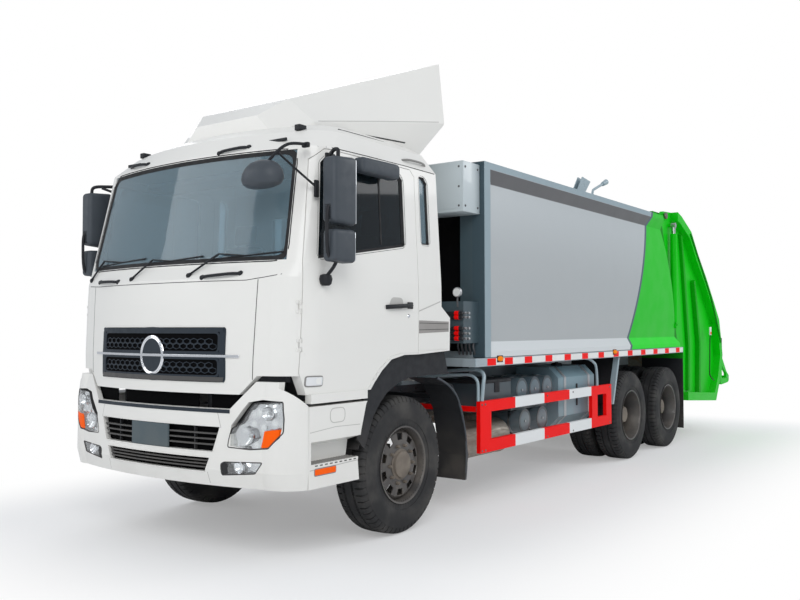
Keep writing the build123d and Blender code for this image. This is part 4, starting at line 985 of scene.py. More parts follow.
# two ends, as x, z, and how far the bar stands off
GRIPS = (
    ("grip_low", (455, 1972), (765, 1994), 26),
    ("grip_low_right", (-515, 1972), (-840, 1980), 26),
    ("grip_top", (355, 2908), (603, 2934), 22),
    ("grip_top_right", (-519, 2930), (-830, 2950), 22),
)


def glass_edge(word, nodes, view, outline, corner, out, inn, body, both=False):
    line = eased(outline, corner, 6, 70)
    mesh = Surface(nodes, view).band(line, out, inn, lift=2.0, thick=8)
    if both:
        pair(word, mesh, "rubber", body)
    else:
        piece(word, mesh, "rubber", body)


def wiper(name, pivot, elbow, start, end):
    """An arm from its pivot to an elbow near the blade, and the blade on its own bar."""
    def lifted(point, lift):
        return (point[0], point[1] - lift, point[2] + lift * 0.1)

    base = turned([(-14, 0), (-14, 14), (-8, 20), (14, 22)], pivot, (0, 1, 0.2), 24)
    arm = pipe([lifted(pivot, 10), lifted(tuple((a + b) / 2 for a, b in zip(pivot, elbow)), 16),
        lifted(elbow, 18)], 7.5)
    middle = tuple((a + b) / 2 for a, b in zip(start, end))
    tie = pipe([lifted(elbow, 18), lifted(tuple((a + b) / 2 for a, b in zip(elbow, middle)), 18),
        lifted(middle, 16)], 5, soft=False)
    points = [start, *[tuple(a + (b - a) * t for a, b in zip(start, end)) for t in (0.25, 0.5, 0.75)], end]
    blade = pipe([lifted(p, 8) for p in points], 6)
    spine = pipe([lifted(p, 15) for p in points[1:-1]], 4.5)
    piece(name, [base, arm, tie, blade, spine], "black", "cab")


def on_screen(surface, x, z):
    return (x, surface.depth(x, z), z)


def cab_face():
    screen = Surface("cab_glass cab_front cab_sides cab_roof", "front")
    glass_edge("screen_seal", "cab_front cab_sides cab_roof cab_glass", "front", SCREEN, 110, 12, 30, "cab")
    for name, *spots in WIPERS:
        wiper(name, *[on_screen(screen, *spot) for spot in spots])
    seam = Surface("cab_front cab_sides cab_roof", "front")
    lines = [[(-1085, 1958), (-827, 1946), (0, 1944), (827, 1946), (962, 1964), (1085, 1984)]]
    lines += [[(s * 919, 1950), (s * 912, 1700), (s * 898, 1262)] for s in (-1, 1)]
    piece("front_seams", [seam.seam(line) for line in lines], "seam", "cab")
    for name, start, end, lift in GRIPS:
        a, b = on_screen(seam, *start), on_screen(seam, *end)
        mids = [tuple(p + (q - p) * t for p, q in zip(a, b)) for t in (0.12, 0.35, 0.65, 0.88)]
        run = [a]
        for k, (x, y, z) in enumerate(mids):
            run.append((x, y - lift - (6 if 0 < k < 3 else 0), z + 4))
        run.append(b)
        feet = [turned([(-9, 0), (-9, 16), (8, 22)], p, (0, 1, 0), 20) for p in (a, b)]
        piece(name, [pipe(run, 11), *feet], "black", "cab")
    for x0, x1, z in ((700, 905, 2972), (-905, -700, 2972)):
        spot = on_screen(seam, (x0 + x1) / 2, z)
        bar = soft_box((x0, x1), (spot[1] - 8, spot[1] + 6), (z - 12, z + 12), 5)
        piece(f"roof_marker_{'left' if x0 > 0 else 'right'}", bar, "black", "cab")


def cab_sides():
    doors = Surface("door_left", "left")
    panel = Surface("cab_sides cab_front cab_roof", "left")
    glass_edge("window_seal", "door_left door_glass_left", "left", DOOR_WINDOW, 46, 12, 20, "door_left",
        both=True)
    glass_edge("quarter_seal", "cab_sides cab_glass", "left", QUARTER_WINDOW, 34, 10, 12, "cab", both=True)
    bar = [(-340, 2250), (-322, 2250), (-322, 2812), (-340, 2812)]
    pair("window_bar", Surface("door_glass_left", "left").patch(bar, lift=3, thick=6), "rubber",
        "door_left")
    # handle, lock, side lamp
    x = doors.land(-150, 1780).x * 1000
    grip = [(x - 4, -318, 1774), (x + 12, -300, 1776), (x + 22, -230, 1780), (x + 24, -120, 1786),
        (x + 16, -10, 1792), (x - 2, 18, 1794)]
    pair("door_grip", [pipe(grip, 17), soft_box((x - 4, x + 10), (-40, 30), (1766, 1818), 6)], "black",
        "door_left")
    dish = eased([(-290, 1760), (-90, 1762), (-100, 1850), (-250, 1852)], 40, 5, 40)
    pair("door_dish", doors.patch(dish, lift=0.6, thick=3), "shade", "door_left")
    pair("door_lock", turned([(6, 0), (6, 12), (0, 16), (-3, 16)], (x, -22, 1709), segments=24), "chrome",
        "door_left")
    lamp = eased([(-1196, 1214), (-1042, 1214), (-1036, 1288), (-1190, 1291)], 22, 4, 40)
    pair("side_lamp_edge", doors.patch(lamp, lift=4, thick=8), "grey", "door_left")
    pair("side_lamp", doors.patch(grown(lamp, -9), lift=8, thick=8), "lamp_white", "door_left")
    pair("side_lamp_bulb", doors.patch(eased([(-1110, 1232), (-1062, 1232), (-1062, 1272), (-1110, 1272)],
        12, 3, 40), lift=9, thick=4), "tape_white", "door_left")
    # creases and seams
    fold = [(-1190, 1440), (-900, 1500), (-500, 1560), (-60, 1602), (110, 1606)]
    pair("door_fold", doors.seam(fold, 16, 1.2), "cab", "door_left")
    vents = [(122, 1745), (430, 1828), (432, 1838), (122, 1755)]
    pair("rear_crease", panel.patch(vents, lift=1.5, thick=4), "shade", "cab")
    foot = [(122, 1572), (560, 1584), (560, 1668), (122, 1676)]
    pair("rear_strip", panel.patch(foot, lift=1.2, thick=4), "strip", "cab")
    pair("rear_strip_lines", [panel.seam([(125, 1655), (555, 1650)], 4, 2),
        panel.seam([(125, 1600), (555, 1606)], 4, 2)], "seam", "cab")
    band = [(-505, 1150), (-452, 1206), (-362, 1290), (-242, 1370), (-70, 1400), (112, 1402), (112, 1432),
        (-78, 1430), (-260, 1400), (-390, 1318), (-486, 1230), (-530, 1170)]
    pair("arch_edge", doors.patch(dense(band, 60), lift=4, thick=7), "cab", "door_left")
    guard = [(122, 1404), (560, 1412), (560, 1440), (122, 1434)]
    pair("arch_edge_rear", panel.patch(guard, lift=4, thick=7), "cab", "cab")
    flare = prism(ARCH_OUT + ARCH_IN[::-1], "x", 1190, 1206)
    back = [(y - 4, z + 9) for y, z in LINER]
    pair("wheel_arch", [flare, prism(LINER + back[::-1], "x", 690, 1192)], "black", "cab")
    # roof grab handle and drip rail
    xs = panel.land(150, 2950).x * 1000
    grip = [(xs - 6, -5, 2952), (xs + 18, 30, 2962), (xs + 20, 160, 2966), (xs + 18, 285, 2962),
        (xs - 6, 320, 2952)]
    pair("roof_grip", pipe(grip, 9), "grey", "cab")
    pair("roof_line", panel.seam([(-1000, 2898), (-500, 2904), (0, 2904), (420, 2898)], 7, 1.0), "seam",
        "cab")
    lip = [(xs - 130, -640, 3096), (xs - 140, -200, 3108), (xs - 150, 240, 3098)]
    pair("roof_rail", pipe(lip, 7), "seam", "cab")


cab_face()
cab_sides()


# ---- steps, mirrors and the deflector -----------------------------------------------------------
def steps():
    tread = [box((1136, 1236), (y, y + 14), (688, 693)) for y in range(-1140, -660, 30)]
    tread += [box((x, x + 6), (-1145, -655), (688, 692)) for x in (1140, 1180, 1224)]
    pair("step_tread", tread, "grey")
    side = Surface("cab_steps", "left")
    pair("step_crease", [side.seam([(-1170, 905), (-900, 925), (-628, 918)]),
        side.seam([(-1172, 650), (-660, 664)], 6)], "shade")
    ring = eased([(-960, 955), (-800, 955), (-800, 1055), (-960, 1055)], 50, 6, 60)
    pair("step_ring", side.band(ring, 3, 3, lift=1.0, thick=3), "shade")
    marker = rounded([(-1122, 612), (-905, 612), (-905, 652), (-1122, 652)], 8, 3)
    pair("step_marker", side.patch(marker, lift=5, thick=8), "orange", bevel=1.5)
    pair("step_marker_base", side.patch(grown(marker, 7), lift=2, thick=5), "grey")
    pair("step_grille", [side.patch([(-1120 + 52 * k, 672), (-1092 + 52 * k, 672), (-1092 + 52 * k, 680),
        (-1120 + 52 * k, 680)], lift=0.8, thick=3) for k in range(9)], "seam")


def head_shell(x, y, z, radius):
    """A mirror housing: a rounded shell that narrows towards its front."""
    mesh = soft_box(x, y, z, radius, 5)
    middle = at((x[0] + x[1]) / 2, y[1], (z[0] + z[1]) / 2)
    reach = (y[1] - y[0]) / 1000
    for v in mesh.vertices:
        t = (middle.y - v.co.y) / reach
        v.co.x = middle.x + (v.co.x - middle.x) * (1 - 0.16 * t * t)
        v.co.z = middle.z + (v.co.z - middle.z) * (1 - 0.07 * t * t)
    return mesh


def mirrors():
    y = -1040
    shells = [head_shell((1304, 1440), (y - 104, y + 134), (2318, 2796), 34),
        head_shell((1304, 1440), (y - 96, y + 126), (2062, 2292), 30),
        head_shell((1212, 1332), (-700, -240), (2742, 2862), 34)]
    foot = turned([(-42, 0), (-42, 26), (-30, 40), (4, 48), (30, 40), (38, 20), (38, 0)], (1264, y, 1950),
        (0, 0, 1), 32)
    bars = pipes((
        (13, (1236, y, 1952), (1262, y, 1958), (1290, y, 1990), (1350, y - 6, 2040), (1374, y - 12, 2080)),
        (12, (1374, y - 108, 2120), (1376, y - 118, 2180), (1376, y - 120, 2330), (1378, y - 116, 2400),
            (1378, y - 104, 2440)),
        (12, (1374, y - 12, 2070), (1372, y - 60, 2075), (1374, y - 104, 2110), (1374, y - 108, 2140)),
        (14, (1182, -905, 2842), (1230, -940, 2846), (1290, -1000, 2846), (1352, y - 6, 2846),
            (1392, y - 20, 2836), (1396, y - 26, 2800), (1396, y - 30, 2700)),
        (11, (1186, -925, 2775), (1240, -975, 2800), (1300, -1030, 2830)),
        (13, (1170, -560, 2800), (1200, -555, 2806), (1240, -545, 2808)),
    ))
    bracket = soft_box((1176, 1206), (-960, -860), (2762, 2856), 10)
    ribs = [box((1345, 1400), (y - 107, y - 92), (2352 + 12 * k, 2356 + 12 * k)) for k in range(9)]
    arms = [foot, *bars, bracket, *ribs]
    left, right = pair("mirror_shell", shells, "mirror_shell", "door_left")
    arm_left, arm_right = pair("mirror_arm", arms, "black", "door_left")
    for obj, side in ((left, "left"), (arm_left, "left"), (right, "right"), (arm_right, "right")):
        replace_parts(obj, "mirror_" + side)
    panes = joined(soft_box((1318, 1428), (y + 126, y + 137), (2336, 2780), 4, 2),
        soft_box((1318, 1428), (y + 118, y + 129), (2078, 2276), 4, 2))
    pair("mirror_pane", panes, "pane", "door_left")


def front_mirror():
    centre = (1008, -1398, 2655)
    dome = [(100, 0), (97, 42), (84, 92), (56, 134), (14, 162), (-26, 170), (-58, 160), (-82, 128),
        (-96, 78), (-100, 0)]
    shell = turned(dome, centre, (0, -0.10, 1), 64)
    middle = at(*centre)
    for v in shell.vertices:
        v.co.y = middle.y + (v.co.y - middle.y) * 0.66
    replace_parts(piece("front_mirror_shell", shell, "mirror_shell", "cab"), "front_mirror")
    arms = pipes((
        (11, (1150, -1118, 2890), (1160, -1250, 2878), (1140, -1330, 2850), (1075, -1380, 2770),
            (1040, -1396, 2722)),
        (8, (1110, -1352, 2800), (1160, -1240, 2700), (1216, -1080, 2590)),
    ))
    arms.append(soft_box((1120, 1180), (-1135, -1105), (2868, 2904), 8))
    arms.append(soft_box((1204, 1224), (-1100, -1060), (2520, 2640), 6))
    piece("front_mirror_arm", arms, "black", "cab")


def roof_trim():
    roof = Surface("roof_deflector cab_roof", "left")
    pair("deflector_foot", roof.seam([(-700, 3160), (-400, 3168), (0, 3172), (330, 3176)], 10, 2.0),
        "seam", "cab")
    pair("deflector_crease", roof.seam([(-560, 3215), (0, 3300), (640, 3392)], 7, 1.0), "shade", "cab")
    cabin = Surface("cab_roof", "top")
    for s in (-1, 1):
        z = cabin.land(s * 860, -860).z * 1000
        piece(f"roof_stop_{'left' if s > 0 else 'right'}", soft_box((s * 890 - 26, s * 890 + 26),
            (-930, -850), (z - 22, z + 22), 7), "black", "cab")


steps()
mirrors()
front_mirror()
roof_trim()


# ---- inside the cab -----------------------------------------------------------------------------
def pad(x, y, z, crown, channels, lean=0.0):
    """A cushion: a crowned block that pulls in between its corners, sewn across in channels."""
    work = bmesh.new()
    bmesh.ops.create_cube(work, size=2.0)
    bmesh.ops.subdivide_edges(work, edges=work.edges[:], cuts=15, use_grid_fill=True)
    half = [(q[1] - q[0]) / 2 for q in (x, y, z)]
    mid = [(q[1] + q[0]) / 2 for q in (x, y, z)]
    for v in work.verts:
        p = v.co.copy()
        long_way = 1 if half[1] > half[2] else 2
        for i in range(3):
            others = [abs(p[j]) for j in range(3) if j != i]
            v.co[i] = p[i] * (1 - 0.07 * max(others) ** 6 - 0.05 * min(others) ** 2)
        if channels:
            flat = 3 - long_way
            wave = abs(math.sin(math.pi * channels * (p[long_way] + 1) / 2)) ** 0.5
            v.co[flat] *= 1 - 0.10 * (1 - wave) * (abs(p[flat]) > 0.9) * (abs(p[0]) < 0.8)
        flat = 2 if half[1] > half[2] else 1
        v.co[flat] *= 1 + crown * (1 - p[0] ** 2) * (1 - p[3 - flat] ** 2)
        spot = [mid[i] + v.co[i] * half[i] for i in range(3)]
        spot[1] += lean * (spot[2] - z[0])
        v.co = at(*spot)
    mesh = bpy.data.meshes.new("mesh")
    work.to_mesh(mesh)
    work.free()
    return mesh


def seats():
    for x, side in ((-760, "right"), (760, "left")):
        cushion = pad((x - 240, x + 240), (-515, 35), (1562, 1694), 0.08, 5)
        back = pad((x - 230, x + 230), (-48, 58), (1702, 2376), 0.10, 7, 0.22)
        head = pad((x - 118, x + 118), (108, 192), (2392, 2574), 0.12, 0, 0.15)
        for word, mesh in (("cushion", cushion), ("back", back), ("head", head)):
            obj = piece(f"seat_{word}_{side}", mesh, "fabric", "cab")
            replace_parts(obj, "seats")
        base = [soft_box((x - 195, x + 195), (-415, -5), (1302, 1330), 8),
            soft_box((x - 205, x + 205), (-420, 0), (1500, 1556), 10)]
        base += [soft_box((x - 170, x + 170), (-380, -40), (1330 + 34 * k, 1356 + 34 * k), 10)
            for k in range(5)]
        base += [pipe([(x + s * 60, 118, 2360), (x + s * 60, 128, 2410)], 7) for s in (-1, 1)]
        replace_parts(piece(f"seat_base_{side}", joined(*base), "black", "cab"), "seats")


def cockpit():
    hood = soft_box((-760, -360), (-1010, -905), (1990, 2068), 26)
    piece("dial_hood", hood, "black", "cab")
    piece("dial_face", soft_box((-730, -390), (-908, -898), (2000, 2056), 5), "shade", "cab")
    vents = [soft_box((x - 60, x + 60), (-912, -896), (1925, 1975), 8) for x in (-180, 60, 320, 620)]
    piece("dash_vents", vents, "black", "cab")
    piece("dash_shelf", soft_box((200, 900), (-1180, -960), (2000, 2034), 12), "grey", "cab")
    rack = soft_box((-880, 880), (-880, -560), (2790, 2840), 20)
    piece("head_shelf", rack, "interior", "cab")


seats()
cockpit()


# ---- load body ----------------------------------------------------------------------------------
def side_rail():
    """Reflecting tape along the foot rail, and the two side lamps above it."""
    red, white = [], []
    starts = [1192, 1512] + [1905 + 444 * k for k in range(11)]
    for y0, y1 in zip(starts, starts[1:] + [6640]):
        red.append(box((SIDE_X, SIDE_X + 2), (y0, y0 + 152), (1276, 1339)))
        white.append(box((SIDE_X, SIDE_X + 1.6), (y0 + 156, min(y1 - 4, y0 + 440)), (1278, 1337)))
    pair("tape_red", red, "red")
    pair("tape_white", white, "tape_white")
    lamps, feet = [], []
    for y in (1418, 4151):
        lamps.append(turned([(0, 46), (10, 44), (19, 34), (23, 16), (24, 0)], (SIDE_X + 2, y, 1332),
            segments=32, squeeze=0.55))
        feet.append(soft_box((SIDE_X - 1, SIDE_X + 3), (y - 54, y + 54), (1300, 1362), 1))
    pair("side_marker", lamps, "amber")
    pair("side_marker_foot", feet, "black")
    caps = [box((SIDE_X - 0.5, SIDE_X + 4), (y, y + 8), (1272, 1343)) for y in (984, 6636)]
    pair("rail_caps", caps, "frame_strip")


def body_front():
    case = soft_box((757, 1203), (866, 1150), (2637, 3088), 8, 2)
    door = soft_box((786, 1174), (862, 868), (2668, 3058), 2, 2)
    knobs = [turned([(-5, 0), (-5, 8), (0, 12), (3, 12)], (x, 864, z), (0, 1, 0), 20)
        for x in (800, 1160) for z in (2690, 2860, 3036)]
    side_knobs = [turned([(5, 0), (5, 8), (0, 11), (-3, 11)], (1204, y, z), segments=20)
        for y in (900, 1110) for z in (2690, 3036)]
    piece("case", [case, door], "box")
    piece("case_bolts", [*knobs, *side_knobs], "iron")
    rods, collars, ends, sections = [], [], [], []
    for z in (1745, 1709, 1612, 1567, 1523):
        rods.append(pipe([(936, 884, z), (1244, 884, z)], 7, soft=False))
        sections.append(soft_box((960, 1178), (872, 902), (z - 15, z + 15), 4, 2))
        collars.append(turned([(-22, 0), (-22, 16), (-18, 20), (18, 20), (22, 16), (22, 0)],
            (1122, 884, z)))
        for x in (940, 1212, 1244):
            ends.append(turned([(-12, 0), (-12, 9), (-4, 12), (8, 12), (12, 8), (12, 0)], (x, 884, z),
                segments=20))
    ends.append(turned([(-4, 0), (-4, 40), (0, 44), (18, 44), (20, 0)], (1122, 884, 1929), (0, 1, 0), 40))
    stem = pipe([(1122, 894, 1890), (1122, 892, 1840), (1122, 900, 1800)], 8)
    piece("valve_rods", [*rods, stem], "iron")
    piece("valve_sections", sections, "black")
    piece("valve_collars", collars, "red")
    piece("valve_knobs", ends, "steel")
    piece("gauge_face", turned([(-5, 0), (-5, 36), (-3, 37)], (1122, 884, 1929), (0, 1, 0), 40),
        "tape_white")
    lines = [pipe([(1000 + 40 * k, 1100, 1490), (1000 + 40 * k, 1090, 1440), (990 + 40 * k, 1140, 1400),
        (960 + 40 * k, 1190, 1340)], 9) for k in range(5)]
    piece("valve_pipes", lines, "iron")
    piece("bulkhead_shade", box((-985, 985), (1296, 1308), (1190, 3080)), "black_shade")


def body_roof():
    ribs = [soft_box((-1090, 1090), (y - 40, y + 40), (3118, 3150), 6, 2) for y in range(1700, 5900, 700)]
    piece("roof_ribs", ribs, "frame_strip")
    plates = [prism([(3857, 3122), (3857, 3237), (4002, 3411), (4233, 3383), (4085, 3242), (4085, 3122)],
        "x", x - 5, x + 5) for x in (872, 928)]
    roller = turned([(-34, 0), (-34, 46), (34, 46), (34, 0)], (900, 4090, 3340), segments=32)
    stay = pipe([(900, 4330, 3122), (900, 4360, 3290), (900, 4420, 3322), (900, 4790, 3458)], 16)
    tip = turned([(-60, 0), (-60, 26), (60, 34), (60, 0)], (900, 4735, 3438), (0, 0.93, 0.36), 24)
    piece("roof_fitting", [*plates, roller, stay, tip], "frame_strip")


def stays():
    """Bent tubes that carry the side guards' front ends, and one by the bogie."""
    tubes = pipes((
        (17, (500, 1205, 1195), (1020, 1200, 1232), (1170, 1195, 1240), (1228, 1180, 1190),
            (1230, 1150, 1120), (1222, 1140, 962)),
        (14, (500, 1120, 1150), (1000, 1115, 1190), (1130, 1112, 1196), (1196, 1108, 1150),
            (1206, 1104, 1080), (1206, 1100, 962)),
        (15, (900, 3515, 1280), (1180, 3515, 1284), (1216, 3600, 1240), (1222, 3700, 1180),
            (1222, 3702, 962)),
    ))
    pair("guard_tubes", tubes, "frame_strip")
    knots = [soft_box((1190, 1196), (y - 40, y + 40), (870, 905), 2, 2) for y in (1130, 2845, 4045)]
    nuts = [turned([(4, 0), (4, 9), (0, 11), (-2, 11)], (1235, y, z), segments=6)
        for y in (1120, 1180, 2420, 3030, 4030) for z in (520, 930)]
    pair("guard_fixings", [*knots, *nuts], "iron")


def tanks():
    domes, straps = [], []
    for y, z in ((2110, 1000), (2390, 1000), (2670, 1000), (2170, 690), (2550, 690)):
        domes.append(turned([(-3, 0), (2, 70), (-4, 105), (-10, 121.5), (-470, 121.5), (-484, 105),
            (-490, 60), (-493, 0)], (1112, y, z), segments=40))
        straps += [turned([(-12, 122), (-12, 125), (12, 125), (12, 122)], (x, y, z), segments=40)
            for x in (760, 990)]
        straps.append(turned([(0, 0), (0, 12), (8, 12), (8, 0)], (1110, y, z), segments=16))
    piece("air_tanks", domes, "tank_end")
    oil_band = [(620, 556), (1018, 556), (1129, 668), (1129, 1083), (1018, 1194), (620, 1194), (620, 1188),
        (1015, 1188), (1123, 1080), (1123, 670), (1015, 562), (620, 562)]
    fuel_band = [(-620, 556), (-1035, 556), (-1100, 582), (-1130, 645), (-1130, 1045), (-1100, 1108),
        (-1035, 1134), (-620, 1134), (-620, 1129), (-1034, 1129), (-1097, 1104), (-1125, 1044),
        (-1125, 646), (-1097, 586), (-1034, 561), (-620, 561)]
    bands = [prism(oil_band, "y", y - 28, y + 28) for y in (3060, 3680)]
    bands += [prism(fuel_band, "y", y - 28, y + 28) for y in (1720, 2580)]
    piece("tank_straps", [*straps, *bands], "steel")
    caps = [turned([(0, 60), (26, 60), (34, 52), (36, 20), (44, 16), (44, 0)], (x, y, z), (0, 0, 1), 32)
        for x, y, z in ((880, 3370, 1186), (-880, 1950, 1126))]
    piece("tank_caps", caps, "black")
    gauge = soft_box((1120, 1132), (3340, 3380), (760, 1000), 5, 2)
    piece("sight_gauge", gauge, "black")
    piece("battery_lid", [soft_box((632, 1118), (1322, 1888), (1098, 1134), 12),
        soft_box((1106, 1118), (1560, 1650), (1010, 1110), 4)], "black")
    outlet = turned([(-40, 0), (-40, 166), (-30, 170), (-10, 170), (0, 166), (770, 166), (780, 170),
        (800, 170), (806, 160), (806, 0)], (880, 1170, 560), (0, 1, 0), 56)
    tail_pipe = pipe([(880, 1190, 560), (880, 1120, 560), (900, 1060, 530), (1000, 1020, 440)], 55)
    feed = pipe([(880, 1960, 560), (880, 2010, 570), (700, 2020, 700), (560, 1400, 760), (470, 700, 800)],
        50)
    piece("muffler_shell", [outlet, tail_pipe, feed], "muffler")


def arches():
    """Edges of the front guards and of the bogie's front plates."""
    arc = [(447, 1200), (680, 1130), (840, 905), (935, 506), (890, 300)]
    run = [(1200, y, z) for y, z in arc]
    pair("guard_edge", pipe(run, 10), "mirror_shell")
    head, foot = WHEELBASE - 400, WHEELBASE - 595
    strip = prism([(head - 40, 1266), (head, 1266), (foot, 716), (foot - 40, 716)], "x", 1150, 1217)
    pair("bogie_plate_edge", strip, "frame_strip", bevel=3)
    flap = soft_box((616, 1219), (LAST_AXLE + 590, LAST_AXLE + 611), (1180, 1262), 4, 2)
    pair("flap_clamp", flap, "green_deep_shade")


side_rail()
body_front()
body_roof()
stays()
tanks()
arches()


# ---- tailgate -----------------------------------------------------------------------------------
COVER = ((-440, 3190), (-210, 3205), (-40, 3160), (365, 2990), (1050, 2370))


def tailgate():
    outer = [(SEAM_FOOT_Y + y, z) for y, z in COVER]
    proud = [(y + 24, z + 30) for y, z in outer]
    rib = outer[1:] + proud[:0:-1]
    ribs = [prism(rib, "x", x - 35, x + 35) for x in (-780, -260, 260, 780)]
    for y, z in ((6930, 3118), (7165, 3000), (7500, 2700), (7820, 2410)):
        ribs.append(soft_box((-1060, 1060), (y - 30, y + 36), (z - 20, z + 22), 6, 2))
    piece("cover_ribs", ribs, "green", "tailgate", bevel=4)
    edge = [(SEAM_FOOT_Y + y, z) for y, z in ((1850, 1420), (1490, 2000), (1090, 2380), (390, 3020))]
    pair("rim_pipe", [pipe([(RIM_X + 6, y - 40, z - 30) for y, z in edge], 6),
        pipe([(RIM_X + 6, y - 66, z - 46) for y, z in edge], 6)], "green_deep_shade", "tailgate")
    lines = pipes(((8, (RIM_X + 8, 8034, 1530), (RIM_X + 8, 8010, 1440), (RIM_X + 8, 7995, 1200),
        (RIM_X + 6, 7981, 900)), (8, (RIM_X + 8, 7981, 900), (RIM_X + 8, 8040, 840),
        (RIM_X + 7, 8200, 800)),))
    pair("side_pipes", lines, "rubber", "tailgate")
    lamp = [(8000, 1500), (8072, 1500), (8072, 1625), (8000, 1625)]
    pair("rear_side_lamp", prism(rounded(lamp, 12, 3), "x", RIM_X - 1, RIM_X + 16), "tape_white",
        "tailgate", bevel=3)
    pair("rear_side_lens", prism(rounded([(8012, 1512), (8060, 1512), (8060, 1552), (8012, 1552)], 8, 3),
        "x", RIM_X + 10, RIM_X + 19), "red", "tailgate", bevel=2)
    rim_back = Surface("tailgate_sides", "rear")
    for number, (z, stuff) in enumerate(((1390, "red"), (1290, "amber"), (1190, "lamp_white"))):
        y = rim_back.depth(1165, z)
        lamp = turned([(-6, 0), (-6, 44), (8, 44), (16, 38), (20, 18), (21, 0)], (1165, y, z), (0, 1, 0),
            36)
        pair(f"tail_lamp_{number}", lamp, stuff, "tailgate")
    y = rim_back.depth(1165, 1290)
    pair("tail_lamp_board", prism([(1110, 1130), (1220, 1130), (1220, 1450), (1110, 1450)], "y", y - 12,
        y + 4), "black", "tailgate", bevel=4)
    # pressed panel between the rim's front and rear webs, and the hinge's cap
    face = Surface("tailgate_sides", "left")
    web = [(7150, 700), (7180, 1350), (6990, 2500), (6900, 2960), (6958, 2940), (7060, 2500),
        (7260, 1350), (7230, 700)]
    # painted shade: the webs take a darker copy of the green
    pair("side_web", prism(web, "x", TAIL_X - 1, TAIL_X + 42), "green_mid_shade", "tailgate", bevel=6)
    second = [(7600, 620), (7640, 1400), (7420, 2300), (7486, 2330), (7716, 1400), (7680, 620)]
    pair("side_web_rear", prism(second, "x", TAIL_X - 1, TAIL_X + 60), "green_mid_shade", "tailgate", bevel=6)
    pair("side_seam", face.seam([(6860, 640), (6866, 1270)], 8, 1.5), "green_deep_shade", "tailgate")
    cap = turned([(0, 0), (0, 44), (10, 48), (22, 44), (24, 0)], (TAIL_X + 18, 6300, 3170), segments=32)
    pair("hinge_cap", cap, "worn")


def lifter():
    teeth = [prism([(x - 22, 825), (x - 14, 872), (x + 14, 872), (x + 22, 825)], "y", 9176, 9196)
        for x in range(-1040, 1041, 80)]
    piece("comb_teeth", teeth, "green", "bin_lifter", bevel=2)
    hooks = [soft_box((s * 600 - 40, s * 600 + 40), (8800, 8836), (752, 1004), 6, 2) for s in (-1, 1)]
    hooks += [soft_box((-1120, 1120), (8802, 8812), (z - 14, z + 14), 3, 2) for z in (800, 880, 960)]
    piece("plate_ribs", hooks, "green", "bin_lifter")
    knobs = [turned([(0, 0), (0, 30), (8, 30), (10, 26), (10, 0)], (1168, 8800, 1120), segments=24),
        turned([(0, 0), (0, 14), (6, 14), (6, 0)], (1165, 9160, 800), segments=6)]
    pair("lifter_pins", knobs, "steel", "bin_lifter")


tailgate()
lifter()


# ---- under the truck ----------------------------------------------------------------------------
def underside():
    chambers = []
    for y in (WHEELBASE, LAST_AXLE):
        chambers.append(turned([(-90, 0), (-90, 60), (-60, 84), (-6, 84), (-6, 92), (6, 92), (6, 84),
            (70, 76), (86, 50), (86, 0)], (520, y + 170, 560), (0.2, 1, 0.1), 32))
        chambers.append(pipe([(520, y + 60, 540), (520, y + 120, 550)], 16, soft=False))
    pair("brake_chambers", chambers, "axle")
    drums = [turned([(0, 132), (0, 205), (12, 210), (150, 210), (160, 204), (160, 132)],
        (REAR_WHEEL_X - 560, y, TYRE_R), segments=48) for y in (WHEELBASE, LAST_AXLE)]
    pair("brake_drums", drums, "iron")
    joints = [turned([(-60, 0), (-60, 62), (-40, 66), (-30, 52), (30, 52), (40, 66), (60, 62), (60, 0)],
        spot, way, 24) for spot, way in (((0, 820, 812), (0, 1, -0.05)), ((0, 4520, 610), (0, 1, -0.05)),
        ((0, 5040, 560), (0, 1, 0)), ((0, 5900, 560), (0, 1, 0)))]
    piece("shaft_joints", joints, "axle")
    sump = [soft_box((-230, 230), (-700, 150), (560, 660), 40),
        soft_box((-180, 180), (230, 690), (600, 650), 30)]
    gearbox = turned([(0, 0), (0, 300), (60, 300), (200, 220), (520, 190), (560, 120), (560, 0)],
        (0, 150, 850), (0, 1, 0), 40)
    piece("engine_sump", [*sump, gearbox], "iron")
    caps = [turned([(-12, 0), (-12, 10), (-8, 14), (2, 14)], (RAIL_X, y, z), (-1, 0, 0), 6)
        for y in range(-1000, 6600, 250) for z in (840, 1040)]
    pair("rail_bolts", caps, "chassis")
    lines = [pipe([(RAIL_X + 14, -900, z), (RAIL_X + 14, 2000, z), (RAIL_X + 14, 6500, z)], 8,
        soft=False) for z in (1000, 975)]
    pair("rail_lines", lines, "rubber")
    clamps = [soft_box((330, 450), (y - 12, y + 12), (596, 700), 4, 2) for y in (-70, 70)]
    clamps += [soft_box((342, 438), (y - 14, y + 14), (600, 690), 4, 2)
        for y in (WHEELBASE - 70, WHEELBASE + 70, LAST_AXLE - 70, LAST_AXLE + 70)]
    pair("spring_clamps", clamps, "axle")


underside()


# ---- camera, light and floor --------------------------------------------------------------------
SHADOW_BOX = (1.6, 5.2)    # half sizes, in metres, of the box that the floor fades away from


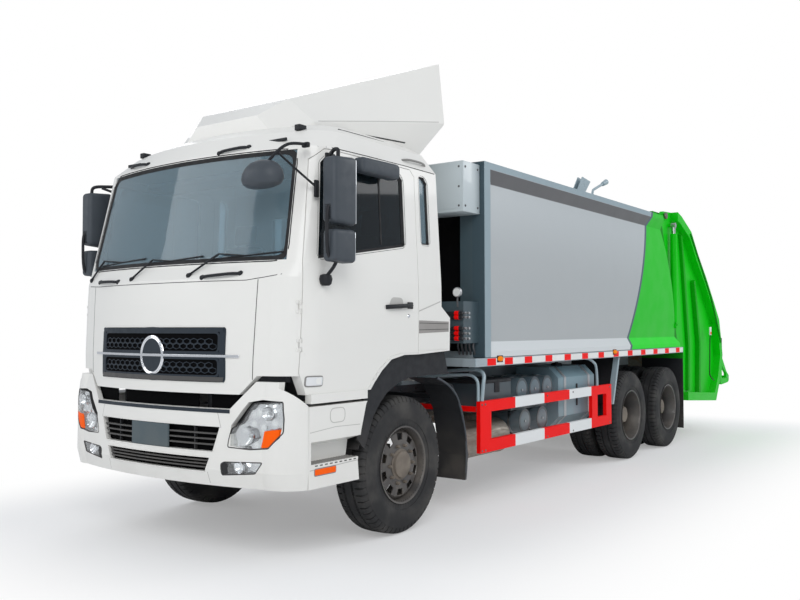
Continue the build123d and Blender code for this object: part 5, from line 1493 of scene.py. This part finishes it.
def floor_material():
    """A pale floor that keeps the truck's shadow, and fades to plain white away from it."""
    g = Graph("floor_white", (0.90, 0.90, 0.90), 0.9)
    g.set("Specular IOR Level", 0.0)
    x, y = g.axis("X"), g.axis("Y")
    out_x = g.math("MAXIMUM", g.math("SUBTRACT", g.math("ABSOLUTE", x, 0.0), SHADOW_BOX[0]), 0.0)
    out_y = g.math("MAXIMUM", g.math("SUBTRACT", g.math("ABSOLUTE", y, 0.0), SHADOW_BOX[1]), 0.0)
    away = g.math("SQRT", g.math("ADD", g.math("POWER", out_x, 2.0), g.math("POWER", out_y, 2.0)), 0.0)
    fade = g.ramp(away, 0.1, 1.9, 0.30, 1.0)
    path = g.nodes.new("ShaderNodeLightPath")
    seen = g.math("MAXIMUM", path.outputs["Is Camera Ray"], path.outputs["Is Transmission Ray"])
    white = g.nodes.new("ShaderNodeEmission")
    white.inputs["Strength"].default_value = 1.0
    mix = g.nodes.new("ShaderNodeMixShader")
    g.links.new(g.math("MULTIPLY", fade, seen), mix.inputs["Fac"])
    g.links.new(g.shader.outputs[0], mix.inputs[1])
    g.links.new(white.outputs[0], mix.inputs[2])
    g.links.new(mix.outputs[0], g.nodes["Material Output"].inputs["Surface"])
    return g.material


def world():
    made = bpy.data.worlds.new("studio")
    bpy.context.scene.world = made
    made.use_nodes = True
    nodes, links = made.node_tree.nodes, made.node_tree.links
    background = nodes["Background"]
    background.inputs["Strength"].default_value = 1.0
    path = nodes.new("ShaderNodeLightPath")
    seen = nodes.new("ShaderNodeMath")
    seen.operation = "MAXIMUM"
    links.new(path.outputs["Is Camera Ray"], seen.inputs[0])
    links.new(path.outputs["Is Transmission Ray"], seen.inputs[1])
    mix = nodes.new("ShaderNodeMix")
    mix.data_type = "RGBA"
    mix.inputs["A"].default_value = (*SKY, 1.0)
    mix.inputs["B"].default_value = (1.0, 1.0, 1.0, 1.0)
    links.new(seen.outputs[0], mix.inputs["Factor"])
    links.new(mix.outputs["Result"], background.inputs["Color"])


SKY = (0.54, 0.565, 0.60)
# area lamps: place, aim, size, power
LAMPS = (
    ((8500, -8500, 8500), (0, 1500, 1500), 7.0, 620),
    ((-7000, -9000, 6500), (0, 0, 1500), 6.0, 230),
    ((9000, 11000, 8500), (0, 6000, 1500), 6.0, 380),
    ((-8000, 9000, 8000), (0, 4000, 1500), 7.0, 260),
)


# the camera fitted to the photograph: its place, how it is turned, in radians, and its focal length
CAMERA_PLACE = (5180.2, -5580.5, 1614.1)
YAW, PITCH, ROLL = 0.626065, -0.032454, -0.001212
FOCAL_PX, PHOTO_PX = 866.66, 800.0
SENSOR_MM = 36.0
FLOOR_HALF = 60.0


def stage():
    camera = bpy.data.objects.new("camera", bpy.data.cameras.new("camera"))
    forward = Vector((-math.sin(YAW) * math.cos(PITCH), math.cos(YAW) * math.cos(PITCH), -math.sin(PITCH)))
    turn = forward.to_track_quat("-Z", "Y").to_matrix().to_4x4()
    camera.matrix_world = Matrix.Translation(at(*CAMERA_PLACE)) @ turn @ Matrix.Rotation(ROLL, 4, "Z")
    camera.data.sensor_width = SENSOR_MM
    camera.data.lens = FOCAL_PX * SENSOR_MM / PHOTO_PX
    camera.data.clip_end = 200.0
    bpy.context.scene.collection.objects.link(camera)
    bpy.context.scene.camera = camera

    work = bmesh.new()
    bmesh.ops.create_grid(work, x_segments=1, y_segments=1, size=FLOOR_HALF)
    mesh = bpy.data.meshes.new("floor")
    work.to_mesh(mesh)
    work.free()
    floor = bpy.data.objects.new("floor", mesh)
    bpy.context.scene.collection.objects.link(floor)
    mesh.materials.append(floor_material())
    world()
    for place, aim, size, power in LAMPS:
        data = bpy.data.lights.new("softbox", "AREA")
        data.size = size
        data.energy = power
        lamp = bpy.data.objects.new("softbox", data)
        facing = (at(*aim) - at(*place)).to_track_quat("-Z", "Y").to_matrix().to_4x4()
        lamp.matrix_world = Matrix.Translation(at(*place)) @ facing
        bpy.context.scene.collection.objects.link(lamp)
    bpy.context.scene.view_settings.view_transform = "Standard"


stage()
